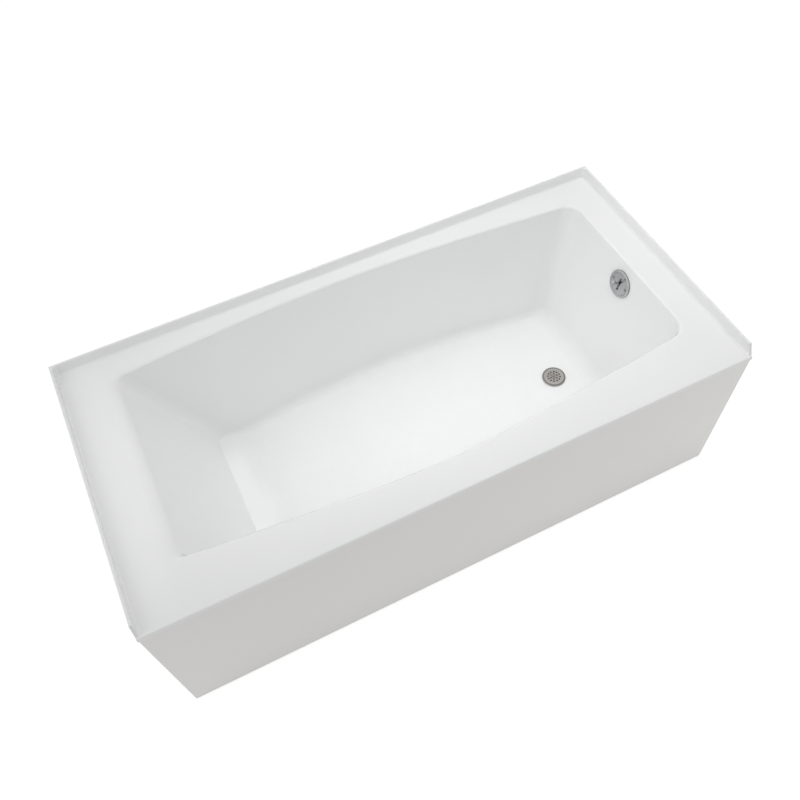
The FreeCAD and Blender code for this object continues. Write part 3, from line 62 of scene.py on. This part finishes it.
class Finish:
    """A procedural material with one Principled shader, and the few nodes that its patterns need."""

    def __init__(self, name, colour, roughness, **sockets):
        self.material = bpy.data.materials.new(name)
        self.material.use_nodes = True
        self.nodes = self.material.node_tree.nodes
        self.links = self.material.node_tree.links
        self.shader = self.nodes["Principled BSDF"]
        self.shader.inputs["Base Color"].default_value = (*colour, 1)
        self.shader.inputs["Roughness"].default_value = roughness
        for socket, value in sockets.items():
            self.shader.inputs[socket.replace("_", " ")].default_value = value
        self.place = self.add("ShaderNodeTexCoord").outputs["Object"]

    def add(self, kind, **settings):
        node = self.nodes.new(kind)
        for name, value in settings.items():
            setattr(node, name, value)
        return node

    def stretched(self, scale):
        """The object's coordinates, scaled differently along each axis."""
        node = self.add("ShaderNodeMapping")
        node.inputs["Scale"].default_value = scale
        self.links.new(self.place, node.inputs["Vector"])
        return node.outputs["Vector"]

    def math(self, operation, *values):
        """The result of a sum on sockets and numbers."""
        node = self.add("ShaderNodeMath", operation=operation)
        for socket, value in zip(node.inputs, values):
            if isinstance(value, (int, float)):
                socket.default_value = value
            else:
                self.links.new(value, socket)
        return node.outputs[0]

    def noise(self, scale, detail=3.0, stretch=None, rough=0.5):
        """Cloudy noise, finer with a larger scale."""
        node = self.add("ShaderNodeTexNoise")
        node.inputs["Scale"].default_value = scale
        node.inputs["Detail"].default_value = detail
        node.inputs["Roughness"].default_value = rough
        place = self.stretched(stretch) if stretch else self.place
        self.links.new(place, node.inputs["Vector"])
        return node.outputs["Fac"]

    def cells(self, scale, stretch=None):
        """The distance to the nearest of many scattered points."""
        node = self.add("ShaderNodeTexVoronoi")
        node.inputs["Scale"].default_value = scale
        place = self.stretched(stretch) if stretch else self.place
        self.links.new(place, node.inputs["Vector"])
        return node.outputs["Distance"]

    def ramp(self, value, stops):
        """Maps a value through greys or colours at the given places."""
        node = self.add("ShaderNodeValToRGB")
        elements = node.color_ramp.elements
        while len(elements) < len(stops):
            elements.new(0.5)
        for element, (place, shade) in zip(elements, stops):
            element.position = place
            element.color = (shade, shade, shade, 1) if isinstance(shade, (int, float)) else (*shade, 1)
        self.links.new(value, node.inputs["Fac"])
        return node.outputs["Color"]

    def vary_colour(self, value, low, high):
        """The base colour goes between two colours with a value."""
        shade = self.ramp(value, [(PATTERN_LOW, low), (PATTERN_HIGH, high)])
        self.links.new(shade, self.shader.inputs["Base Color"])

    def vary_roughness(self, value, low, high):
        """The roughness goes between two numbers with a value."""
        node = self.add("ShaderNodeMapRange")
        node.inputs["From Min"].default_value = PATTERN_LOW
        node.inputs["From Max"].default_value = PATTERN_HIGH
        node.inputs["To Min"].default_value = low
        node.inputs["To Max"].default_value = high
        self.links.new(value, node.inputs["Value"])
        self.links.new(node.outputs["Result"], self.shader.inputs["Roughness"])

    def distance(self, centre):
        """How far each point lies from a centre."""
        node = self.add("ShaderNodeVectorMath", operation="DISTANCE")
        node.inputs[1].default_value = centre
        self.links.new(self.place, node.inputs[0])
        return node.outputs["Value"]

    def paint_hollow_shade(self, shade, reach):
        """Painted shade: the base colour is a shade that falls off towards black in grooves narrower than
        the reach.
        """
        node = self.add("ShaderNodeAmbientOcclusion", samples=PAINTED_SHADE_SAMPLES)
        node.inputs["Distance"].default_value = reach
        unshaded_share = self.ramp(node.outputs["AO"], [(PAINTED_SHADE_SHUT, 0.0), (PAINTED_SHADE_OPEN, 1.0)])
        self.mix_colour(unshaded_share, PAINTED_SHADE_COLOUR, shade)

    def mix_colour(self, part, low, shade):
        """The base colour goes from a plain colour to a shade with a value from 0 to 1."""
        node = self.add("ShaderNodeMixRGB")
        self.links.new(part, node.inputs["Fac"])
        node.inputs["Color1"].default_value = (*low, 1)
        self.links.new(shade, node.inputs["Color2"])
        self.links.new(node.outputs["Color"], self.shader.inputs["Base Color"])

    def bump(self, value, height, strength=1.0):
        """Raises the surface by up to a height, on top of what was raised before."""
        node = self.add("ShaderNodeBump")
        node.inputs["Distance"].default_value = height
        node.inputs["Strength"].default_value = strength
        self.links.new(value, node.inputs["Height"])
        normal = self.shader.inputs["Normal"]
        if normal.links:
            self.links.new(normal.links[0].from_socket, node.inputs["Normal"])
        self.links.new(node.outputs["Normal"], normal)


# --- materials ----------------------------------------------------------------------------------

FLOOR_LEVEL = 0.1         # the basin's floor lies below this height
GRIP_PITCH = 0.0075       # of the small raised dots on the basin's floor
GRIP_CUT = 0.4            # the lattice's waves are cut off flat below this, so that round dots are left


def acrylic():
    """Glossy white sheet, very slightly wavy as moulded acrylic is, with fine grip dots on the floor."""
    made = Finish("acrylic", (0.93, 0.933, 0.933), 0.16, Coat_Weight=0.25, Coat_Roughness=0.05, IOR=1.49)
    made.vary_colour(made.noise(3.0), (0.926, 0.930, 0.930), (0.936, 0.939, 0.939))
    made.vary_roughness(made.noise(22.0), 0.13, 0.19)
    made.bump(made.noise(9.0, 1.0), 0.0005, 0.5)
    made.bump(made.noise(420.0, 2.0), 0.00002)
    made.bump(grip_dots(made), 0.00035, 0.8)
    return made.material


def grip_dots(made):
    """A square lattice of round dots, kept to the level ground of the basin."""
    axes = made.add("ShaderNodeSeparateXYZ")
    made.links.new(made.place, axes.inputs[0])
    waves = []
    for axis in "XY":
        turns = made.math("MULTIPLY", axes.outputs[axis], math.tau / GRIP_PITCH)
        waves.append(made.math("COSINE", turns))
    lattice = made.math("MAXIMUM", made.math("ADD", *waves), GRIP_CUT)
    low = made.math("LESS_THAN", axes.outputs["Z"], FLOOR_LEVEL)
    return made.math("MULTIPLY", lattice, low)


def apron_acrylic():
    """The same sheet on the flat front panel, a touch warmer."""
    made = Finish("apron_acrylic", (0.902, 0.892, 0.868), 0.2,
                  Coat_Weight=0.2, Coat_Roughness=0.08, IOR=1.49)
    made.vary_colour(made.noise(2.0), (0.898, 0.887, 0.862), (0.908, 0.898, 0.875))
    made.vary_roughness(made.noise(18.0), 0.17, 0.24)
    made.bump(made.noise(7.0, 1.0), 0.0006, 0.5)
    return made.material


def laminate():
    """Sprayed glass fibre: short strands in cloudy resin."""
    made = Finish("laminate", (0.72, 0.70, 0.58), 0.42, Coat_Weight=0.35, Coat_Roughness=0.2)
    strands = made.noise(60.0, 6.0, (1.0, 4.0, 1.0), 0.75)
    made.vary_colour(strands, (0.62, 0.60, 0.47), (0.80, 0.78, 0.67))
    made.bump(made.cells(150.0, stretch=(1.0, 3.0, 1.5)), 0.0012, 0.8)
    made.bump(made.noise(30.0, 5.0, rough=0.7), 0.002, 0.6)
    return made.material


def timber():
    """Sawn board with long grain and a few darker streaks."""
    made = Finish("timber", (0.62, 0.46, 0.29), 0.62)
    grain = made.noise(14.0, 6.0, (0.35, 9.0, 9.0), 0.65)
    made.vary_colour(grain, (0.50, 0.34, 0.19), (0.72, 0.55, 0.36))
    made.vary_roughness(grain, 0.5, 0.72)
    made.bump(grain, 0.0006, 0.7)
    return made.material


def metal(name, colour, roughness, spread, scratch_scale, height):
    """Metal with fine wear: uneven gloss and hairline scratches."""
    made = Finish(name, colour, roughness, Metallic=1.0)
    made.vary_roughness(made.noise(90.0, 4.0), roughness - spread, roughness + spread)
    made.bump(made.noise(scratch_scale, 3.0, (1.0, 12.0, 1.0)), height, 0.4)
    return made


def zinc_steel():
    """Galvanised sheet and bar, with the small spangles of the zinc."""
    made = metal("zinc_steel", (0.60, 0.61, 0.62), 0.36, 0.08, 160.0, 0.00006)
    made.vary_colour(made.cells(120.0), (0.53, 0.54, 0.56), (0.66, 0.67, 0.68))
    return made.material


def satin_metal():
    """A satin plate with soft mottling, painted darker round its rim and in its holes and slots for their
    shade, with a painted highlight ring just inside the rim.
    """
    made = metal("satin_metal", (0.46, 0.44, 0.42), 0.34, 0.06, 240.0, 0.00003)
    low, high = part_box("strainer_plate")
    radius = (high.x - low.x) / 2
    away = made.distance((low + high) / 2)
    # Painted light in rings: darker in the middle, a painted highlight ring at 0.8 of the radius and a
    # painted shade ring at 0.9, round the rim.
    shade = made.ramp(made.math("DIVIDE", away, radius), [
        (0.0, (0.40, 0.38, 0.36)), (0.58, (0.46, 0.44, 0.42)), (0.80, (0.52, 0.50, 0.48)),
        (0.90, (0.24, 0.23, 0.22)), (1.0, (0.30, 0.29, 0.28))])
    # Painted shade in the holes and slots.
    made.paint_hollow_shade(shade, 0.004)
    return made.material


def chrome():
    """Bright plating, with painted shade darkening it in the lever's slot and round the screws."""
    made = metal("chrome_plate", (0.50, 0.50, 0.51), 0.07, 0.02, 300.0, 0.000004)
    shade = made.ramp(made.noise(8.0), [
        (PATTERN_LOW, (0.47, 0.47, 0.48)), (PATTERN_HIGH, (0.53, 0.53, 0.54))])
    # Painted shade in the lever's slot and round the screws.
    made.paint_hollow_shade(shade, 0.009)
    return made.material


def brass():
    """Cast brass, painted near black where it lies open to the basin, for the shade in the drain hole."""
    made = metal("brass", (0.70, 0.52, 0.22), 0.28, 0.07, 200.0, 0.00003)
    plain = made.ramp(made.noise(45.0), [
        (PATTERN_LOW, (0.60, 0.43, 0.17)), (PATTERN_HIGH, (0.76, 0.58, 0.26))])
    axes = made.add("ShaderNodeSeparateXYZ")
    made.links.new(made.place, axes.inputs[0])
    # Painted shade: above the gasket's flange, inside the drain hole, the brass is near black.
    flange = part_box("drain_gasket")[1].z
    clear_of_painted_shade = made.math("LESS_THAN", axes.outputs["Z"], flange)
    made.mix_colour(clear_of_painted_shade, (0.015, 0.013, 0.010), plain)
    return made.material


def black_pipe():
    """Moulded black plastic with a soft gloss and faint flow marks."""
    made = Finish("black_pipe", (0.012, 0.012, 0.013), 0.3, IOR=1.53)
    made.vary_colour(made.noise(25.0), (0.009, 0.009, 0.010), (0.017, 0.017, 0.018))
    made.vary_roughness(made.noise(60.0, 4.0), 0.24, 0.36)
    made.bump(made.noise(260.0, 3.0), 0.00003, 0.6)
    return made.material


def rubber(name, shade):
    """Matt rubber of one grey, slightly blotched."""
    made = Finish(name, (shade, shade, shade), 0.72)
    made.vary_colour(made.noise(70.0), (shade * 0.8,) * 3, (shade * 1.3,) * 3)
    made.bump(made.noise(600.0, 2.0), 0.00008, 0.6)
    return made.material


SLOTS = {
    "acrylic": acrylic(), "laminate": laminate(), "timber": timber(), "zinc_steel": zinc_steel(),
    "foot_rubber": rubber("foot_rubber", 0.03), "satin_metal": satin_metal(), "chrome_plate": chrome(),
    "brass": brass(), "black_pipe": black_pipe(), "seal_rubber": rubber("seal_rubber", 0.05),
}
APRON = apron_acrylic()


def dress(item, material):
    """Gives every face of an object one material."""
    item.data.materials.clear()
    item.data.materials.append(material)
    return item


SLOT_OF = {part["node"]: part["material_slot"] for part in frame["record"]["subparts"]}
for node, item in frame["nodes"].items():
    dress(item, APRON if node == "apron" else SLOTS[SLOT_OF[node]])

# --- mesh tools ---------------------------------------------------------------------------------

SHARP = math.radians(35)             # edges above this angle stay sharp in the scene's own meshes
CLOSE = 1e-6                         # points nearer than this are one
SOLID_CLOSE = 1e-5                   # the same, where a CAD node is parted into its solids
TURN_STEPS = 36                      # points round a turned form
SOFT_ANGLE = math.radians(40)        # edges above this angle are rounded
SOFT_STEPS = 3


def make_piece(name, points, faces, slot, body):
    """A smooth mesh in the frame's metres, in its record slot's finish, that rides on a body."""
    mesh = bpy.data.meshes.new(name)
    mesh.from_pydata(points, [], faces)
    work = bmesh.new()
    work.from_mesh(mesh)
    bmesh.ops.remove_doubles(work, verts=work.verts, dist=CLOSE)
    bmesh.ops.recalc_face_normals(work, faces=work.faces)
    work.to_mesh(mesh)
    work.free()
    mesh.shade_smooth()
    mesh.set_sharp_from_angle(angle=SHARP)
    item = bpy.data.objects.new(name, mesh)
    bpy.context.scene.collection.objects.link(item)
    dress(item, SLOTS[slot])
    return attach(item, body)


def placed(points, place, ahead):
    """Points made about +Z, moved so that +Z runs along ahead from place."""
    turn = Vector(ahead).to_track_quat("Z", "X")
    return [Vector(place) + turn @ Vector(point) for point in points]


def ring_faces(rows, steps):
    """Quads between rows of points that each go once round."""
    faces = []
    for row in range(rows - 1):
        for step in range(steps):
            after = (step + 1) % steps
            faces.append((row * steps + step, row * steps + after,
                          (row + 1) * steps + after, (row + 1) * steps + step))
    return faces


def turned(profile, lift=None):
    """A profile of (radius, height) turned about +Z; lift(x, y, radius, height) adds to the height."""
    points = []
    for radius, height in profile:
        for step in range(TURN_STEPS):
            angle = math.tau * step / TURN_STEPS
            x, y = radius * math.cos(angle), radius * math.sin(angle)
            points.append((x, y, height + (lift(x, y, radius, height) if lift else 0)))
    return points, ring_faces(len(profile), TURN_STEPS)


def join(*meshes):
    """One set of points and faces from several."""
    points, faces = [], []
    for more_points, more_faces in meshes:
        start = len(points)
        points += more_points
        faces += [tuple(start + index for index in face) for face in more_faces]
    return points, faces


def loose_boxes(node):
    """The low and high corners of each separate solid of a CAD node."""
    work = bmesh.new()
    work.from_mesh(frame["nodes"][node].data)
    bmesh.ops.remove_doubles(work, verts=work.verts, dist=SOLID_CLOSE)
    left, boxes = set(work.verts), []
    while left:
        reached = [left.pop()]
        for vert in reached:
            near = {edge.other_vert(vert) for edge in vert.link_edges} & left
            left -= near
            reached += near
        columns = list(zip(*(vert.co for vert in reached)))
        boxes.append((Vector(map(min, columns)), Vector(map(max, columns))))
    work.free()
    return sorted(boxes, key=lambda corners: tuple(corners[0]))


def soften(node, width):
    """Rounds the sharp edges of a CAD node with modifiers."""
    item = frame["nodes"][node]
    weld = item.modifiers.new("weld", "WELD")
    weld.merge_threshold = CLOSE
    bevel = item.modifiers.new("bevel", "BEVEL")
    bevel.width = width
    bevel.segments = SOFT_STEPS
    bevel.limit_method = "ANGLE"
    bevel.angle_limit = SOFT_ANGLE
    bevel.use_clamp_overlap = True
    item.modifiers.new("normals", "WEIGHTED_NORMAL")


# --- threads and screws -------------------------------------------------------------------------

THREAD_ROWS = 6           # rows of points in one turn of a thread
THREAD_FADE = 1.5         # turns over which a thread grows from nothing

# A screw's head, in shares of its radius.
HEAD_RINGS = 14
HEAD_EDGE = 0.14          # the rounded rim
HEAD_DOME = 0.35          # how far the top falls to the rim, as a share of the head's height

# A recess, in shares of its own reach from the middle.
CROSS_ARM, CROSS_WALL, CROSS_END = 0.26, 0.10, 0.35
SLOT_ARM, SLOT_WALL = 0.20, 0.06

# Wood screws: the head and the stem in shares of the head's radius, the thread in shares of the
# stem's, and the tip as (share of the stem's radius, share of its length).
WOOD_RISE, WOOD_STEM, WOOD_RECESS = 0.565, 0.478, 0.7
WOOD_RIDGE, WOOD_PITCH = 0.3, 0.75
WOOD_TIP = [(0.8, 0.8), (0.45, 0.92), (0, 1)]

# Machine screws: all in shares of the head's radius, but a recess's depth is a share of the rise.
STRAINER_RISE, STRAINER_STEM, STRAINER_RECESS = 0.39, 0.54, 0.55
STRAINER_RIDGE, STRAINER_PITCH = 0.1, 0.2
PLATE_RISE, PLATE_STEM, PLATE_RECESS = 0.417, 0.5, 0.75
PLATE_RIDGE, PLATE_PITCH = 0.09, 0.17
CROSS_REACH = 0.62
PLATE_LEAN = math.radians(10)

FOOT_PITCH = 0.00175
FOOT_RIDGE = 0.16         # of the rod's radius


def threaded(radius, depth, pitch, low, high):
    """A rod along +Z with a ridge that winds up it, from its low end to its high end."""
    rows = round((high - low) / pitch * THREAD_ROWS)
    points = []
    for row in range(rows + 1):
        height = low + (high - low) * row / rows
        from_end = min(height - low, high - height) / pitch
        fade = min(1, from_end / THREAD_FADE)
        for step in range(TURN_STEPS):
            around = step / TURN_STEPS
            wave = abs(((height / pitch - around) % 1) * 2 - 1)
            reach = radius - depth * (1 - wave) * fade - depth * (1 - fade) / 2
            angle = math.tau * around
            points.append((reach * math.cos(angle), reach * math.sin(angle), height))
    faces = ring_faces(rows + 1, TURN_STEPS)
    last = rows * TURN_STEPS
    faces.append(tuple(reversed(range(TURN_STEPS))))
    faces.append(tuple(last + step for step in range(TURN_STEPS)))
    return points, faces


def cross_recess(size, depth):
    """A cross-shaped hollow for a screwdriver, deepest in the middle."""
    def lift(x, y, radius, height):
        across = min(abs(x), abs(y))
        along = max(abs(x), abs(y))
        wall = max(0, min(1, (size * CROSS_ARM - across) / (size * CROSS_WALL)))
        reach = max(0, min(1, (size - along) / (size * CROSS_END)))
        return -depth * wall * reach if height > 0 else 0
    return lift


def slot_recess(size, depth):
    """A straight slot across a screw's head."""
    def lift(x, y, radius, height):
        wall = max(0, min(1, (size * SLOT_ARM - abs(y)) / (size * SLOT_WALL)))
        return -depth * wall if height > 0 and radius < size else 0
    return lift


def head(radius, height, recess):
    """A low domed screw head above +Z 0, with a recess in its top."""
    profile = [(0, height)]
    for ring in range(1, HEAD_RINGS + 1):
        part = ring / HEAD_RINGS
        profile.append((radius * (1 - HEAD_EDGE) * part, height - height * HEAD_DOME * part * part))
    rim = profile[-1][1]
    edge = radius * HEAD_EDGE
    for turn in (30, 60, 90):
        angle = math.radians(turn)
        profile.append((radius - edge + edge * math.sin(angle), rim - edge + edge * math.cos(angle)))
    profile += [(radius, 0), (0, 0)]
    return turned(profile, recess)


def shank(radius, length):
    """A threaded shank below +Z 0 that narrows to a point."""
    straight = -length * WOOD_TIP[0][1]
    body = threaded(radius, radius * WOOD_RIDGE, radius * WOOD_PITCH, straight, 0)
    tip = turned([(radius * width, -length * depth) for width, depth in WOOD_TIP])
    return join(body, tip)


SCREWS = {
    # CAD node: the way its heads face
    "apron_screws": (0, 0, -1),
    "rail_screws": (0, 0, -1),
    "bracket_screws": (0, 1, 0),
}


def make_wood_screws(node, facing):
    """Pan-head screws with a cross recess, one set in place of a CAD node."""
    along = max(range(3), key=lambda axis: abs(facing[axis]))
    made = []
    for low, high in loose_boxes(node):
        radius = (high[along - 1] - low[along - 1]) / 2
        rise = radius * WOOD_RISE
        outer = high[along] if facing[along] > 0 else low[along]
        seat = (low + high) / 2
        seat[along] = outer - rise * facing[along]
        length = high[along] - low[along] - rise
        recess = cross_recess(radius * CROSS_REACH, rise * WOOD_RECESS)
        points, faces = join(head(radius, rise, recess), shank(radius * WOOD_STEM, length))
        made.append((placed(points, seat, facing), faces))
    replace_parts(make_piece(node + "_cut", *join(*made), SLOT_OF[node], "tub"), node)


def make_foot_rods():
    """Levelling rods with a coarse thread down to the pad's socket."""
    for node in sorted(frame["nodes"]):
        if node.startswith("foot_rod_"):
            low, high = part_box(node)
            radius = (high.x - low.x) / 2
            centre = (low + high) / 2
            points, faces = threaded(radius, radius * FOOT_RIDGE, FOOT_PITCH, low.z, high.z)
            points = placed(points, (centre.x, centre.y, 0), (0, 0, 1))
            number = node.rsplit("_", 1)[1]
            rod = make_piece("threaded_rod_" + number, points, faces, SLOT_OF[node], "foot_%s_rod" % number)
            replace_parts(rod, node)


def make_strainer_screw():
    """The slotted screw in the middle of the strainer."""
    low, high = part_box("strainer_screw")
    radius = (high.x - low.x) / 2
    rise = radius * STRAINER_RISE
    middle = (low + high) / 2
    top = head(radius, rise, slot_recess(radius, rise * STRAINER_RECESS))
    stem = threaded(radius * STRAINER_STEM, radius * STRAINER_RIDGE, radius * STRAINER_PITCH,
                    low.z - high.z + rise, 0)
    points, faces = join(top, stem)
    points = placed(points, (middle.x, middle.y, high.z - rise), (0, 0, 1))
    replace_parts(make_piece("slotted_screw", points, faces, "satin_metal", "tub"), "strainer_screw")


def make_plate_screws():
    """The two screws of the overflow's plate, square to the leaning wall."""
    facing = Vector((-math.cos(PLATE_LEAN), 0, math.sin(PLATE_LEAN)))
    made = []
    for low, high in loose_boxes("plate_screws"):
        radius = (high.y - low.y) / 2
        rise = radius * PLATE_RISE
        middle = (low + high) / 2
        half = ((high.x - low.x) - 2 * radius * math.sin(PLATE_LEAN)) / 2 / math.cos(PLATE_LEAN)
        seat = middle + facing * (half - rise)
        stem = threaded(radius * PLATE_STEM, radius * PLATE_RIDGE, radius * PLATE_PITCH,
                        -(2 * half - rise), 0)
        recess = cross_recess(radius * CROSS_REACH, rise * PLATE_RECESS)
        points, faces = join(head(radius, rise, recess), stem)
        made.append((placed(points, seat, facing), faces))
    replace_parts(make_piece("plate_screws_cut", *join(*made), "chrome_plate", "tub"), "plate_screws")


for screws, way in SCREWS.items():
    make_wood_screws(screws, way)
make_foot_rods()
make_strainer_screw()
make_plate_screws()

SOFT_EDGES = {
    # CAD node: the width of its rounded edges
    "apron": 0.0006, "base_board": 0.0008, "rim_strip": 0.0006, "apron_stiffeners": 0.0006,
    "head_rail": 0.0005, "drain_rail": 0.0005, "centre_foot_plate": 0.0006, "apron_brackets": 0.0005,
    "foot_nuts": 0.0006, "bracket_bolts": 0.0005, "strainer_plate": 0.0003, "drain_spud": 0.0003,
    "lever_bracket": 0.0003,
}
for node, width in SOFT_EDGES.items():
    soften(node, width)

# --- floor, light and camera --------------------------------------------------------------------

FLOOR_HALF = 6.0
FLOOR_GREY = 0.80
FLOOR_GLOW = 0.60         # lifts the floor to white where it's seen, and leaves its shadows
BACKGROUND = 1.0
AMBIENT = 0.52            # the even light from all round
BEAM_HEIGHT = 2.2         # of the narrow lamps that look straight down


def make_floor():
    """A pale floor that looks white to the camera and in reflections, with the tub's shadow on it."""
    mesh = bpy.data.meshes.new("floor")
    corners = [(-FLOOR_HALF, -FLOOR_HALF, 0), (FLOOR_HALF, -FLOOR_HALF, 0),
               (FLOOR_HALF, FLOOR_HALF, 0), (-FLOOR_HALF, FLOOR_HALF, 0)]
    mesh.from_pydata(corners, [], [(0, 1, 2, 3)])
    floor = bpy.data.objects.new("floor", mesh)
    bpy.context.scene.collection.objects.link(floor)
    material = bpy.data.materials.new("floor")
    material.use_nodes = True
    nodes, links = material.node_tree.nodes, material.node_tree.links
    nodes.clear()
    out = nodes.new("ShaderNodeOutputMaterial")
    matte = nodes.new("ShaderNodeBsdfDiffuse")
    matte.inputs["Color"].default_value = (FLOOR_GREY, FLOOR_GREY, FLOOR_GREY, 1)
    glow = nodes.new("ShaderNodeEmission")
    glow.inputs["Strength"].default_value = FLOOR_GLOW
    both = nodes.new("ShaderNodeAddShader")
    pick = nodes.new("ShaderNodeMixShader")
    links.new(matte.outputs[0], both.inputs[0])
    links.new(glow.outputs[0], both.inputs[1])
    links.new(seen(nodes, links), pick.inputs[0])
    links.new(matte.outputs[0], pick.inputs[1])
    links.new(both.outputs[0], pick.inputs[2])
    links.new(pick.outputs[0], out.inputs["Surface"])
    mesh.materials.append(material)


def seen(nodes, links):
    """One where a ray comes from the camera, a mirror or glass."""
    path = nodes.new("ShaderNodeLightPath")
    direct = path.outputs["Is Camera Ray"]
    for kind in ("Is Glossy Ray", "Is Transmission Ray"):
        either = nodes.new("ShaderNodeMath")
        either.operation = "MAXIMUM"
        links.new(direct, either.inputs[0])
        links.new(path.outputs[kind], either.inputs[1])
        direct = either.outputs[0]
    return direct


def make_world():
    """Even light on the tub, and plain white where the background is seen."""
    world = bpy.data.worlds.new("studio")
    bpy.context.scene.world = world
    world.use_nodes = True
    nodes, links = world.node_tree.nodes, world.node_tree.links
    nodes.clear()
    out = nodes.new("ShaderNodeOutputWorld")
    light = nodes.new("ShaderNodeBackground")
    light.inputs["Color"].default_value = (1, 1, 1, 1)
    light.inputs["Strength"].default_value = AMBIENT
    white = nodes.new("ShaderNodeBackground")
    white.inputs["Color"].default_value = (1, 1, 1, 1)
    white.inputs["Strength"].default_value = BACKGROUND
    pick = nodes.new("ShaderNodeMixShader")
    links.new(seen(nodes, links), pick.inputs[0])
    links.new(light.outputs[0], pick.inputs[1])
    links.new(white.outputs[0], pick.inputs[2])
    links.new(pick.outputs[0], out.inputs["Surface"])


def panel_light(name, place, target, width, height, power, spread=180):
    """A soft rectangular lamp that faces a target and doesn't show, in the view or in mirrors."""
    data = bpy.data.lights.new(name, "AREA")
    data.shape = "RECTANGLE"
    data.size = width
    data.size_y = height
    data.energy = power
    data.spread = math.radians(spread)
    lamp = bpy.data.objects.new(name, data)
    bpy.context.scene.collection.objects.link(lamp)
    lamp.location = place
    lamp.rotation_euler = (Vector(target) - Vector(place)).to_track_quat("-Z", "Y").to_euler()
    lamp.visible_glossy = False
    lamp.visible_camera = False


def beam(name, x, y, width, height, power, spread):
    """A lamp that looks straight down and lights little beyond its own outline."""
    panel_light(name, (x, y, BEAM_HEIGHT), (x, y, 0), width, height, power, spread)


# The camera's place, angles and lens, solved from the tub's corners in an 800 x 800 picture.
CAMERA_PLACE = (-0.498093, -1.186262, 2.216377)
CAMERA_TURN, CAMERA_TILT, CAMERA_ROLL = -23.62682628, 57.44430834, -3.24509892
FOCAL_PIXELS, FRAME_PIXELS = 800.456, 800
CENTRE_X, CENTRE_Y = 410.53, 428.01
SENSOR_WIDTH = 36.0


def make_camera():
    """The camera at the viewing angle of the picture."""
    turn, tilt, roll = (math.radians(angle) for angle in (CAMERA_TURN, CAMERA_TILT, CAMERA_ROLL))
    back = Vector((math.sin(turn) * math.cos(tilt), -math.cos(turn) * math.cos(tilt), math.sin(tilt)))
    right = Vector((math.cos(turn), math.sin(turn), 0))
    up = back.cross(right)
    across = math.cos(roll) * right + math.sin(roll) * up
    above = -math.sin(roll) * right + math.cos(roll) * up
    data = bpy.data.cameras.new("camera")
    data.sensor_fit = "HORIZONTAL"
    data.sensor_width = SENSOR_WIDTH
    data.lens = FOCAL_PIXELS / FRAME_PIXELS * SENSOR_WIDTH
    data.shift_x = (FRAME_PIXELS / 2 - CENTRE_X) / FRAME_PIXELS
    data.shift_y = (CENTRE_Y - FRAME_PIXELS / 2) / FRAME_PIXELS
    camera = bpy.data.objects.new("camera", data)
    bpy.context.scene.collection.objects.link(camera)
    axes = Matrix((across, above, back)).transposed().to_4x4()
    camera.matrix_world = Matrix.Translation(CAMERA_PLACE) @ axes
    bpy.context.scene.camera = camera


make_floor()
make_world()
panel_light("overhead", (0.8, 0.2, 2.6), (0.8, 0.2, 0), 1.2, 1.2, 11)
panel_light("head_side", (-1.97, 0, 1.78), (0, 0, 0.4), 1.2, 1.2, 5)
panel_light("front_side", (0.98, -1.7, 1.78), (0, 0, 0.4), 1.2, 1.2, 1)
beam("backrest_foot", -0.495, 0, 0.03, 0.4, 0.018, spread=5)
beam("head_deck", -0.77, 0, 0.04, 0.7, 0.007, spread=7)
beam("basin_head", -0.25, 0, 0.8, 0.2, 0.25, spread=30)
beam("basin_drain", 0.35, 0.02, 0.6, 0.2, 0.12, spread=30)
panel_light("drain_wall", (-1.5, 0.1, 2.1), (0.75, 0, 0.3), 0.8, 0.8, 0.65, spread=40)
make_camera()

view = bpy.context.scene.view_settings
view.view_transform = "Standard"
